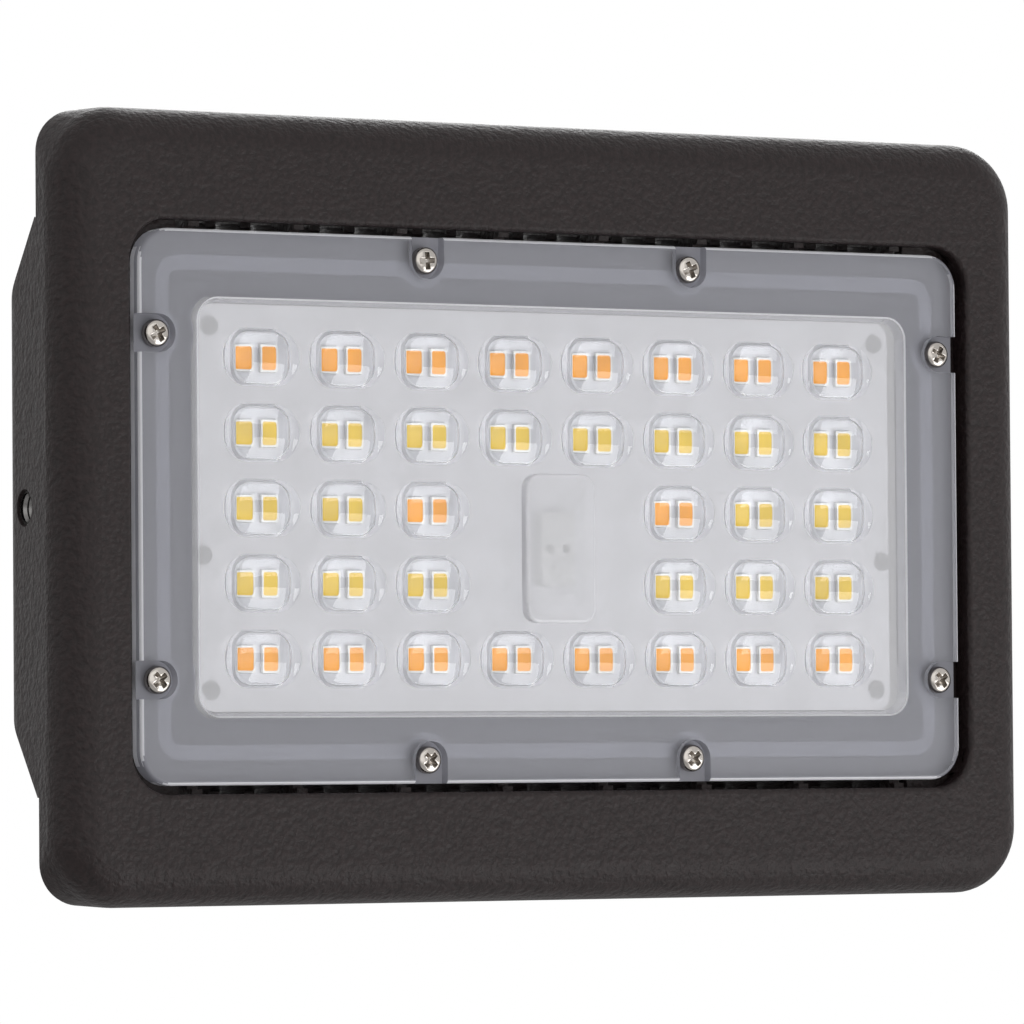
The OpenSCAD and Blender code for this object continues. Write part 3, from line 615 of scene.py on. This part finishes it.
lens = {
    "width": 198.6, "height": 110.1, "corner": 7.0, "bevel": 0.85, "steps": 10,
    "roundSteps": 5, "front": 0.8, "seam": 2.8, "back": 4.36, "smoothAngle": 38,
    "opticFront": 3.2, "opticBack": 5.4, "underGrow": 0.4, "underCorner": 5.0,
    "hugSide": 9.2, "hug": 7.0, "keep": 8.4, "shank": 1.7, "holeSteps": 24,
    "sideBelow": 40,  # screws nearer to the middle than this are in the side edges
    "notch": 7.6, "notchDepth": 3.0, "notchSteps": 24, "notchLength": 9,
    "tools": (-2, 9),  # ends of the round tools, before and behind the panel
}
recess = {"width": 172.2, "height": 83.4, "corner": 4.8, "lean": 1.25, "ahead": -0.5,
          "rim": (0.25, 0.3), "foot": (0.3, 0.25)}  # depth and inset of the two soft edges
dome = {
    "width": 17.4, "height": 11.4, "corner": 5.3, "rise": 1.95, "least": 0.16,
    "crownHalf": 6.4, "crownDrop": 1.0, "wingSlope": 0.15, "crossDrop": 1.5,
    "rows": (0.02, 0.12, 0.24, 0.36, 0.48, 0.6, 0.7, 0.79, 0.86, 0.92, 0.965),
    "edgeDrop": 0.1, "sink": 0.4,
}
pocket = {"width": 12.6, "height": 10.2, "corner": 3.6, "ceiling": 3.5, "round": 0.5,
          "crown": 0.6, "past": 0.5, "steps": 8}
cover = {
    "width": 17.0, "height": 30.5, "corner": 3.2, "z": -7.5, "rise": 1.9, "round": 0.7,
    "sink": 0.4, "steps": 6, "hollowWidth": 13.6, "hollowHeight": 27, "hollowCorner": 2.4,
    "hollowRise": 0.6, "gate": 1.0, "gateAt": (1.2, 0.1), "gateRise": (2.0, 1.5),
}
grid = {"pitchX": 20, "pitchZ": 15, "columns": 8, "rows": 5, "midColumn": 3.5, "midRow": 2,
        "coverRows": (2, 3), "coverColumns": (3, 4)}
cells = [(row, col) for row in range(grid["rows"]) for col in range(grid["columns"])
         if not (row in grid["coverRows"] and col in grid["coverColumns"])]


def cellPlace(cell):
    return ((cell[1] - grid["midColumn"]) * grid["pitchX"],
            (grid["midRow"] - cell[0]) * grid["pitchZ"])


def domeHeightAt(a, b):
    d = dome
    far = abs(a) - d["crownHalf"]
    drop = (d["crownDrop"] * min(1, abs(a) / d["crownHalf"]) ** 4
            + d["wingSlope"] * max(0, far))
    return max(d["least"], d["rise"] - drop - d["crossDrop"] * (2 * b / d["height"]) ** 2)


def domeLoft(centre):
    d = dome
    front = lens["opticFront"]
    rings = []
    for share in d["rows"] + (1,):
        row = roundedRect(d["width"] * share, d["height"] * share, d["corner"] * share,
                          lens["steps"])
        lower = d["edgeDrop"] if share == 1 else 0
        rings.append([(centre[0] + a, front - domeHeightAt(a, b) + lower, centre[1] + b)
                      for a, b in row])
    rings.append(ringAt(row, front + d["sink"], centre))
    return loft("dome", rings)


def coverLoft(centre):
    c = cover
    front = lens["opticFront"]
    rings = [ringAt(roundedRect(c["width"], c["height"], c["corner"], c["steps"]),
                    front + c["sink"], centre)]
    for angle in quarterTurn(lens["roundSteps"]):
        inset = c["round"] * (1 - math.cos(angle))
        rings.append(ringAt(roundedRect(c["width"] - 2 * inset, c["height"] - 2 * inset,
                                        c["corner"] - inset, c["steps"]),
                            front - c["rise"] + c["round"] * (1 - math.sin(angle)), centre))
    rings.reverse()
    return loft("bump", rings)


def pocketLoft(width, height, ceiling, centre, corner):
    p = pocket
    rings = []
    for angle in quarterTurn(lens["roundSteps"]):
        inset = p["round"] * (1 - math.sin(angle))
        rings.append(ringAt(roundedRect(width - 2 * inset, height - 2 * inset,
                                        corner - inset, p["steps"]),
                            ceiling + p["round"] * (1 - math.cos(angle)) * p["crown"], centre))
    rings.append(ringAt(roundedRect(width, height, corner, p["steps"]),
                        lens["opticBack"] + p["past"], centre))
    return loft("pocket", rings)


def flangeBlock():
    p = lens
    rings = []
    for angle in quarterTurn(p["roundSteps"]):
        inset = p["bevel"] * (1 - math.sin(angle))
        rings.append(ringAt(roundedRect(p["width"] - 2 * inset, p["height"] - 2 * inset,
                                        p["corner"] - inset, p["steps"]),
                            p["front"] + p["bevel"] * (1 - math.cos(angle))))
    whole = roundedRect(p["width"], p["height"], p["corner"], p["steps"])
    return loft("lensPanel", rings + [ringAt(whole, y) for y in (p["seam"], p["back"])])


def underBlock():
    p = lens
    outline = roundedRect(recess["width"] + p["underGrow"], recess["height"] + p["underGrow"],
                          p["underCorner"])
    under = prismY("under", outline, p["back"] - lead, p["opticBack"])
    for x, z in lensScrews:
        radius = p["hugSide"] if abs(z) < p["sideBelow"] else p["hug"]
        under = combine(under, prismY("hug", circleOutline(radius), *p["tools"], (x, z)))
    return under


def recessTool():
    r = recess
    front, plate = lens["front"], lens["opticFront"]
    walls = ((r["ahead"], 0), (front, 0), (front + r["rim"][0], r["rim"][1]),
             (plate - r["foot"][0], r["lean"] - r["foot"][1]), (plate, r["lean"]))
    tool = loft("recess", [ringAt(roundedRect(r["width"] - 2 * s, r["height"] - 2 * s,
                                              r["corner"] - s), y) for y, s in walls])
    for place in lensScrews:
        tool = combine(tool, prismY("keep", circleOutline(lens["keep"]), *lens["tools"], place))
    return tool


def notchTool(x, z):
    p = lens
    half = p["notch"] / 2
    outline = []
    for i in range(p["notchSteps"] + 1):
        angle = math.pi * i / p["notchSteps"]
        outline.append((half * math.cos(angle), -half * math.sin(angle)))
    outline += [(-half, p["notchLength"]), (half, p["notchLength"])]
    if abs(z) < p["sideBelow"]:
        turned = [(x + math.copysign(1, x) * b, z + a) for a, b in outline]
    else:
        turned = [(x + a, z + math.copysign(1, z) * b) for a, b in outline]
    return prismY("notch", turned, p["tools"][0], p["notchDepth"])


def makeLens():
    p = lens
    c = cover
    centre = (0, c["z"])
    panel = combine(flangeBlock(), underBlock(), "UNION")
    panel = combine(panel, recessTool())
    panel = combine(panel, joined("domes", [domeLoft(cellPlace(cell)) for cell in cells]),
                    "UNION")
    panel = combine(panel, coverLoft(centre), "UNION")
    gateEnds = [p["opticFront"] - rise for rise in c["gateRise"]]
    gate = prismY("gate", circleOutline(c["gate"], p["holeSteps"]), *gateEnds,
                  (c["gateAt"][0], c["z"] + c["gateAt"][1]))
    panel = combine(panel, gate, "UNION")
    pockets = [pocketLoft(pocket["width"], pocket["height"], pocket["ceiling"],
                          cellPlace(cell), pocket["corner"]) for cell in cells]
    pockets.append(pocketLoft(c["hollowWidth"], c["hollowHeight"],
                              p["opticFront"] - c["hollowRise"], centre, c["hollowCorner"]))
    panel = combine(panel, joined("pockets", pockets))
    for x, z in lensScrews:
        panel = combine(panel, notchTool(x, z))
        shank = circleOutline(p["shank"], p["holeSteps"])
        panel = combine(panel, prismY("shank", shank, 0, p["tools"][1], (x, z)))
    finishEdges(panel, smoothAngle=p["smoothAngle"])
    panel.data.materials.clear()
    for material in (frostedFlange, frostedPlate, clearOptic, satinRimPaintedHighlight, flangeSkin):
        panel.data.materials.append(material)
    for face in panel.data.polygons:
        face.material_index = lensFinish(face)
    settle(panel, "head", "clear_optic", "optic_lens")
    print("lens panel made,", len(panel.data.polygons), "faces")


# which material a face gets: its place in the panel, and how its normal stands, decide
finish = {
    "back": 0, "plate": 1, "polished": 2, "rim": 3, "skin": 4,
    "near": 0.02, "nearBack": 0.05, "domeEdge": 0.05, "recessEdge": 0.1, "outerBand": 0.6,
    "flat": 0.99, "steep": 0.45, "backward": 0.97, "rimDepth": 0.26,
}


def lensFinish(face):
    f, p = finish, lens
    x, z = face.center[0] / millimetre, face.center[2] / millimetre
    y = (face.center[1] - frontY) / millimetre
    facing = abs(face.normal[1])
    if abs(y - p["front"]) < f["near"] and face.normal[1] < -f["flat"]:
        return f["skin"]
    cell = (round(grid["midRow"] - z / grid["pitchZ"]),
            round(x / grid["pitchX"] + grid["midColumn"]))
    if cell in cells:
        cx, cz = cellPlace(cell)
        if (abs(x - cx) < dome["width"] / 2 + f["domeEdge"]
                and abs(z - cz) < dome["height"] / 2 + f["domeEdge"]):
            if min(abs(y - p["opticFront"]), abs(y - p["opticBack"])) < f["near"]:
                return f["plate"]
            # steep dome and pocket walls take the pale rim finish: painted highlight lines
            return f["rim"] if facing < f["steep"] else f["polished"]
    band = f["outerBand"]
    if abs(x) > p["width"] / 2 - band or abs(z) > p["height"] / 2 - band:
        outerWall = p["front"] + p["bevel"] < y < p["seam"]
        # the bevel and the rear part of the side wall take the pale rim finish: painted highlight
        # lines
        return f["rim"] if facing < f["backward"] and not outerWall else f["back"]
    inside = (abs(x) < recess["width"] / 2 + f["recessEdge"]
              and abs(z) < recess["height"] / 2 + f["recessEdge"])
    if not inside or abs(y - p["back"]) < f["nearBack"] or y < p["front"] + f["near"]:
        return f["back"]
    # the recess's soft top edge takes the pale rim finish: a painted highlight line
    return f["rim"] if y < p["front"] + f["rimDepth"] else f["plate"]


makeLens()


# what repeats: a mesh of points, and a tree that sets one or two masters on each

def repeatTree(name):
    tree = bpy.data.node_groups.new(name, "GeometryNodeTree")
    face = tree.interface
    face.new_socket("Points", in_out="INPUT", socket_type="NodeSocketGeometry")
    for socketName, kind in (
            ("Master", "NodeSocketObject"), ("Master finish", "NodeSocketMaterial"),
            ("Insert", "NodeSocketObject"), ("Insert finish", "NodeSocketMaterial"),
            ("Spin", "NodeSocketFloat"), ("Turn", "NodeSocketFloat"),
            ("Seed", "NodeSocketInt")):
        face.new_socket(socketName, in_out="INPUT", socket_type=kind)
    face.new_socket("Result", in_out="OUTPUT", socket_type="NodeSocketGeometry")
    add, link = tree.nodes.new, tree.links.new
    inputs, output = add("NodeGroupInput"), add("NodeGroupOutput")
    chance = add("FunctionNodeRandomValue")
    chance.data_type = "FLOAT"
    link(inputs.outputs["Spin"], chance.inputs["Max"])
    link(inputs.outputs["Seed"], chance.inputs["Seed"])
    angles = add("ShaderNodeCombineXYZ")
    spun = [s for s in chance.outputs if s.type == "VALUE" and s.enabled][0]
    link(spun, angles.inputs["Y"])
    link(inputs.outputs["Turn"], angles.inputs["Z"])
    turn = add("FunctionNodeEulerToRotation")
    link(angles.outputs["Vector"], turn.inputs["Euler"])
    join = add("GeometryNodeJoinGeometry")
    for master in ("Master", "Insert"):
        info = add("GeometryNodeObjectInfo")
        info.inputs["As Instance"].default_value = True
        link(inputs.outputs[master], info.inputs["Object"])
        place = add("GeometryNodeInstanceOnPoints")
        link(inputs.outputs["Points"], place.inputs["Points"])
        link(info.outputs["Geometry"], place.inputs["Instance"])
        link(turn.outputs["Rotation"], place.inputs["Rotation"])
        realize = add("GeometryNodeRealizeInstances")
        link(place.outputs["Instances"], realize.inputs["Geometry"])
        paint = add("GeometryNodeSetMaterial")
        link(realize.outputs["Geometry"], paint.inputs["Geometry"])
        link(inputs.outputs[master + " finish"], paint.inputs["Material"])
        link(paint.outputs["Geometry"], join.inputs["Geometry"])
    link(join.outputs["Geometry"], output.inputs["Result"])
    return tree


setOnPoints = repeatTree("setOnPoints")


def repeatPiece(name, places, master, masterFinish, insert=None, insertFinish=None,
                spin=0.0, turn=0.0, seed=3):
    mesh = bpy.data.meshes.new(name)
    mesh.from_pydata(inMetres(places), [], [])
    obj = addMesh(name, mesh)
    step = obj.modifiers.new("repeat", "NODES")
    step.node_group = setOnPoints
    values = {"Master": master, "Master finish": masterFinish, "Insert": insert,
              "Insert finish": insertFinish, "Spin": spin, "Turn": turn, "Seed": seed}
    for item in setOnPoints.interface.items_tree:
        if item.in_out == "INPUT" and values.get(item.name) is not None:
            step[item.identifier] = values[item.name]
    applyModifiers(obj)
    return obj


def atOrigin(obj):
    obj.data.transform(Matrix.Translation((0, -frontY, 0)))
    return obj


# pan head screws with a cross recess: head toward the front, seat at y = 0

panHead = {
    "profile": ((0.0, 1.0), (0.45, 0.99), (0.72, 0.95), (0.88, 0.86), (0.97, 0.7),
                (1.0, 0.45), (1.0, 0.08), (0.96, 0.0)),  # shares of the radius and the rise
    "tip": 0.02, "steps": 32, "armLength": 0.62, "armHalf": 0.19, "innerLength": 0.45,
    "innerHalf": 0.7, "above": 0.5, "armDepth": 0.8, "innerDepth": 0.25,
    "bevel": 0.06, "bevelAngle": 50, "smoothAngle": 40,
}
screwKinds = {
    "screwMaster": {"radius": 2.8, "rise": 2.1, "shank": 1.2, "length": 8.8},
    "stoutMaster": {"radius": 3.0, "rise": 2.0, "shank": 1.55, "length": 6.1},
    "smallMaster": {"radius": 1.95, "rise": 0.5, "shank": 0.95, "length": 4.6},
}
screwSpin = 1.5
screwSets = (
    {"name": "lensScrewSet", "node": "lens_screws", "kind": "screwMaster",
     "finish": nickelScrew, "turn": 0.0, "seed": 5,
     "places": [(x, 3.0, z) for x, z in lensScrews]},
    {"name": "coverScrewSet", "node": "cover_screws", "kind": "screwMaster",
     "finish": zincSteel, "turn": math.pi, "seed": 8,
     "places": [(x, 40.0, z) for x in (-70, -24, 24, 70) for z in (-22.3, 22.3)]},
    {"name": "baseScrewSet", "node": "knuckle_base_screws", "kind": "stoutMaster",
     "finish": zincSteel, "turn": math.pi, "seed": 9,
     "places": [(x, 44.0, z) for x in (-16, 16) for z in (-16, 16)]},
    {"name": "boardScrewSet", "node": "board_screws", "kind": "smallMaster",
     "finish": darkScrew, "turn": 0.0, "seed": 4,
     "places": [(s * x, 6.0, z) for s in (-1, 1)
                for x, z in ((80.8, 36.2), (82.5, -9.4), (80.8, -36.2))]},
)


def makeScrew(name, radius, rise, shank, length):
    h = panHead
    rings = [ringAt(circleOutline(max(h["tip"], r * radius), h["steps"]), -up * rise)
             for r, up in h["profile"]]
    rings += [ringAt(circleOutline(shank, h["steps"]), y) for y in (0.0, length)]
    screw = loft(name, rings)
    arm, half = radius * h["armLength"], radius * h["armHalf"]
    for turned in (False, True):
        outer = [(-arm, -half), (arm, -half), (arm, half), (-arm, half)]
        inner = [(a * h["innerLength"], b * h["innerHalf"]) for a, b in outer]
        if turned:
            outer, inner = [(b, a) for a, b in outer], [(b, a) for a, b in inner]
        slot = loft("slot", [ringAt(outer, -rise - h["above"]),
                             ringAt(outer, -rise * h["armDepth"]),
                             ringAt(inner, -rise * h["innerDepth"])])
        screw = combine(screw, slot)
    finishEdges(screw, h["bevel"], h["bevelAngle"], smoothAngle=h["smoothAngle"])
    return atOrigin(screw)


def makeScrews():
    masters = {kind: makeScrew(kind, **size) for kind, size in screwKinds.items()}
    for group in screwSets:
        piece = repeatPiece(group["name"], group["places"], masters[group["kind"]],
                            group["finish"], spin=screwSpin, turn=group["turn"],
                            seed=group["seed"])
        finishEdges(piece, smoothAngle=panHead["smoothAngle"])
        settle(piece, "head", "bright_screw", group["node"])
    for master in masters.values():
        removeObject(master)
    print("screws made")


makeScrews()


# diode packages: a white frame with a phosphor filling, two to a cell

diode = {
    "width": 3.8, "tall": 4.5, "rim": 0.36, "height": 0.7, "gap": 5.3, "board": 6.0,
    "corner": 0.25, "steps": 3, "warmRows": (0, 4), "warmCells": ((2, 2), (2, 5)),
    # growth, corner and depth below the rim
    "well": ((0.2, 0.5, -0.1), (-0.2, 0.4, 0.3)),
    "filling": ((-0.6, 0.3, 0.02), (0.06, 0.48, 0.06), (-0.14, 0.4, 0.29)),
}


def diodeOutline(grow, corner):
    return roundedRect(diode["width"] + grow, diode["tall"] + grow, corner, diode["steps"])


def wellLoft(name, rings):
    inner = -2 * diode["rim"]
    return loft(name, [ringAt(diodeOutline(inner + grow, corner), -diode["height"] + depth)
                       for grow, corner, depth in rings])


def isWarm(cell):
    return cell[0] in diode["warmRows"] or cell in diode["warmCells"]


def makeDiodes():
    d = diode
    package = prismY("frameMaster", diodeOutline(0, d["corner"]), -d["height"], 0)
    package = combine(package, wellLoft("well", d["well"]))
    filling = wellLoft("fillingMaster", d["filling"])
    for master in (package, filling):
        finishEdges(master)
        atOrigin(master)
    for name, node, slot, phosphor, warm in (
            ("warmDiodes", "warm_leds", "warm_phosphor", warmPhosphor, True),
            ("coolDiodes", "cool_leds", "cool_phosphor", coolPhosphor, False)):
        places = []
        for cell in cells:
            if isWarm(cell) == warm:
                x, z = cellPlace(cell)
                places += [(x + s * d["gap"] / 2, d["board"], z) for s in (-1, 1)]
        piece = repeatPiece(name, places, package, packageWhite, filling, phosphor)
        finishEdges(piece)
        settle(piece, "head", slot, node)
    removeObject(package)
    removeObject(filling)
    print("diodes made")


makeDiodes()


# pieces kept from the solids, with softened edges where they show

thread = {"start": 3.2, "end": 16.4, "pitch": 1.814, "crest": 10.7, "root": 9.75,
          "tube": 12.5, "lead": 0.1, "steps": 64}
softening = {"weld": 2e-6, "flat": 0.5, "angle": 32}


def threadTool():
    t = thread
    half = t["pitch"] / 2
    count = int((t["end"] - t["start"]) / half)
    shoulder = -frontY / millimetre
    rings = [ringAt(circleOutline(t["crest"] if i % 2 == 0 else t["root"], t["steps"]),
                    shoulder + t["start"] + i * half) for i in range(count + 2)]
    tube = prismY("tube", circleOutline(t["tube"], t["steps"]),
                  shoulder + t["start"] + t["lead"], shoulder + t["end"])
    return combine(tube, loft("rod", rings))


def softened(name, node, material, body, slot, width):
    mesh = nodes[node].data.copy()
    obj = addMesh(name, mesh)
    build = bmesh.new()
    build.from_mesh(mesh)
    bmesh.ops.remove_doubles(build, verts=build.verts, dist=softening["weld"])
    bmesh.ops.dissolve_limit(build, angle_limit=math.radians(softening["flat"]),
                             verts=build.verts, edges=build.edges, delimit={"NORMAL"})
    build.to_mesh(mesh)
    build.free()
    if node == "knuckle_arm":
        obj = combine(obj, threadTool())
    finishEdges(obj, width, softening["angle"])
    dressed(obj, material, body, slot, node)


def makeRearPieces():
    for row in (
            ("rearCoverPlate", "rear_cover", powderCoat, "head", "powder_coat", 0.45),
            ("knuckleBaseCasting", "knuckle_base", powderCoat, "head", "powder_coat", 0.6),
            ("knuckleArmCasting", "knuckle_arm", powderCoat, "arm", "powder_coat", 0.5),
            ("pivotBolt", "knuckle_bolt", zincSteel, "head", "bright_screw", 0.3),
            ("pivotNut", "knuckle_nut", zincSteel, "head", "bright_screw", 0.3),
            ("glandBody", "cable_gland", blackNylon, "head", "black_plastic", 0.3),
            ("glandDome", "gland_nut", blackNylon, "head", "black_plastic", 0.4),
            ("ventCap", "breather_vent", blackNylon, "head", "black_plastic", 0.25),
            ("selectorCover", "selector_cap", blackRubber, "selector_cap", "black_rubber", 0.5),
            ("wallGasket", "nipple_gasket", blackRubber, "arm", "black_rubber", 0.3),
            ("connectorBlock", "board_connector", whiteNylonPaintedShade, "head", "white_plastic", 0.25)):
        softened(*row)
    print("rear pieces made")


makeRearPieces()


def finishInnerNodes():
    for node, material in (
            ("lens_gasket", gasketSilicone), ("led_board", whiteMaskPaintedShade),
            ("thermal_pad", thermalPad), ("led_leads", redWire), ("driver", driverCase),
            ("driver_screws", zincSteel), ("cover_gasket", blackRubber),
            ("gland_seal", blackRubber), ("gland_locknut", blackNylon),
            ("selector_board", greenBoard), ("selector_board_screws", zincSteel),
            ("cct_switch", blackNylon), ("cct_slider", whiteNylonPaintedShade)):
        materials = nodes[node].data.materials
        if len(materials) == 0:
            materials.append(material)
        for i in range(len(materials)):
            materials[i] = material
    print("inner pieces finished")


finishInnerNodes()


# floor, lights and camera, in metres

studio = {
    "floorZ": -1.6, "floorSize": 30.0, "floorGlow": 0.15, "world": 0.38, "worldShown": 1.0,
    "paper": (0.86, 0.84, 0.88), "paperRoughness": 0.9, "paperScale": 3,
    "key": {"at": (-0.6, -2.8, 0.6), "size": 3.2, "power": 23.5},
    "fill": {"at": (0.9, -1.2, -0.65), "size": 1.0, "power": 11},
    "side": {"at": (-2.5, 0.0, 0.5), "size": 2.0, "power": 6},
    "back": {"at": (1.6, 2.3, 1.3), "size": 1.6, "power": 40},
}
# fitted to the photograph: turns in degrees, focal length in pixels of its width
photoView = {"yaw": 32.825, "pitch": -1.896, "roll": -0.435, "aimX": -0.01288,
             "aimZ": -0.00022, "distance": 1.5774, "focal": 7789.9, "pixels": 1024,
             "sensor": 36, "near": 0.05}


def whereSeen(tree, lighting, shown):
    path = tree.nodes.new("ShaderNodeLightPath")
    seen = path.outputs["Is Camera Ray"]
    for other in ("Is Glossy Ray", "Is Transmission Ray"):
        either = tree.nodes.new("ShaderNodeMath")
        either.operation = "MAXIMUM"
        tree.links.new(seen, either.inputs[0])
        tree.links.new(path.outputs[other], either.inputs[1])
        seen = either.outputs["Value"]
    span = tree.nodes.new("ShaderNodeMapRange")
    span.inputs["To Min"].default_value = lighting
    span.inputs["To Max"].default_value = shown
    tree.links.new(seen, span.inputs["Value"])
    return span.outputs["Result"]


def makeFloor():
    half = studio["floorSize"] / 2
    mesh = bpy.data.meshes.new("studioFloor")
    mesh.from_pydata([(x, y, studio["floorZ"]) for x, y in
                      ((-half, -half), (half, -half), (half, half), (-half, half))],
                     [], [(0, 1, 2, 3)])
    floor = addMesh("studioFloor", mesh)
    base, dark, light = [(shade, shade, shade) for shade in studio["paper"]]
    paper = newMaterial("floorPaper", base, studio["paperRoughness"])
    varyColour(paper, objectNoise(paper, studio["paperScale"], detail=2), dark, light)
    tree = paper.node_tree
    shader = tree.nodes["Principled BSDF"]
    shader.inputs["Emission Color"].default_value = (1, 1, 1, 1)
    tree.links.new(whereSeen(tree, 0.0, studio["floorGlow"]),
                   shader.inputs["Emission Strength"])
    mesh.materials.append(paper)


def makeLight(name, setting):
    light = bpy.data.lights.new(name, "AREA")
    light.shape = "SQUARE"
    light.size = setting["size"]
    light.energy = setting["power"]
    obj = bpy.data.objects.new(name, light)
    scene.collection.objects.link(obj)
    obj.location = setting["at"]
    target = Vector((0, frontY, 0))
    obj.rotation_euler = (target - Vector(setting["at"])).to_track_quat("-Z", "Y").to_euler()


def makeWorld():
    world = bpy.data.worlds.new("studioWorld")
    scene.world = world
    world.use_nodes = True
    tree = world.node_tree
    back = tree.nodes["Background"]
    back.inputs["Color"].default_value = (1, 1, 1, 1)
    tree.links.new(whereSeen(tree, studio["world"], studio["worldShown"]),
                   back.inputs["Strength"])


def makeCamera():
    v = photoView
    yaw, pitch, roll = [math.radians(v[turn]) for turn in ("yaw", "pitch", "roll")]
    back = Vector((-math.sin(yaw) * math.cos(pitch), -math.cos(yaw) * math.cos(pitch),
                   math.sin(pitch)))
    right = Vector((math.cos(yaw), -math.sin(yaw), 0))
    up = back.cross(right)
    tiltedRight = right * math.cos(roll) + up * math.sin(roll)
    tiltedUp = up * math.cos(roll) - right * math.sin(roll)
    centre = Vector((v["aimX"], frontY, v["aimZ"])) + back * v["distance"]
    cameraData = bpy.data.cameras.new("photoCamera")
    cameraData.sensor_width = v["sensor"]
    cameraData.lens = v["sensor"] * v["focal"] / v["pixels"]
    cameraData.clip_start = v["near"]
    camera = bpy.data.objects.new("photoCamera", cameraData)
    scene.collection.objects.link(camera)
    turn = Matrix((tiltedRight, tiltedUp, back)).transposed()
    camera.matrix_world = Matrix.Translation(centre) @ turn.to_4x4()
    scene.camera = camera


makeFloor()
makeWorld()
for lightName in ("key", "fill", "side", "back"):
    makeLight(lightName, studio[lightName])
makeCamera()
scene.view_settings.view_transform = "Standard"
print("studio made")
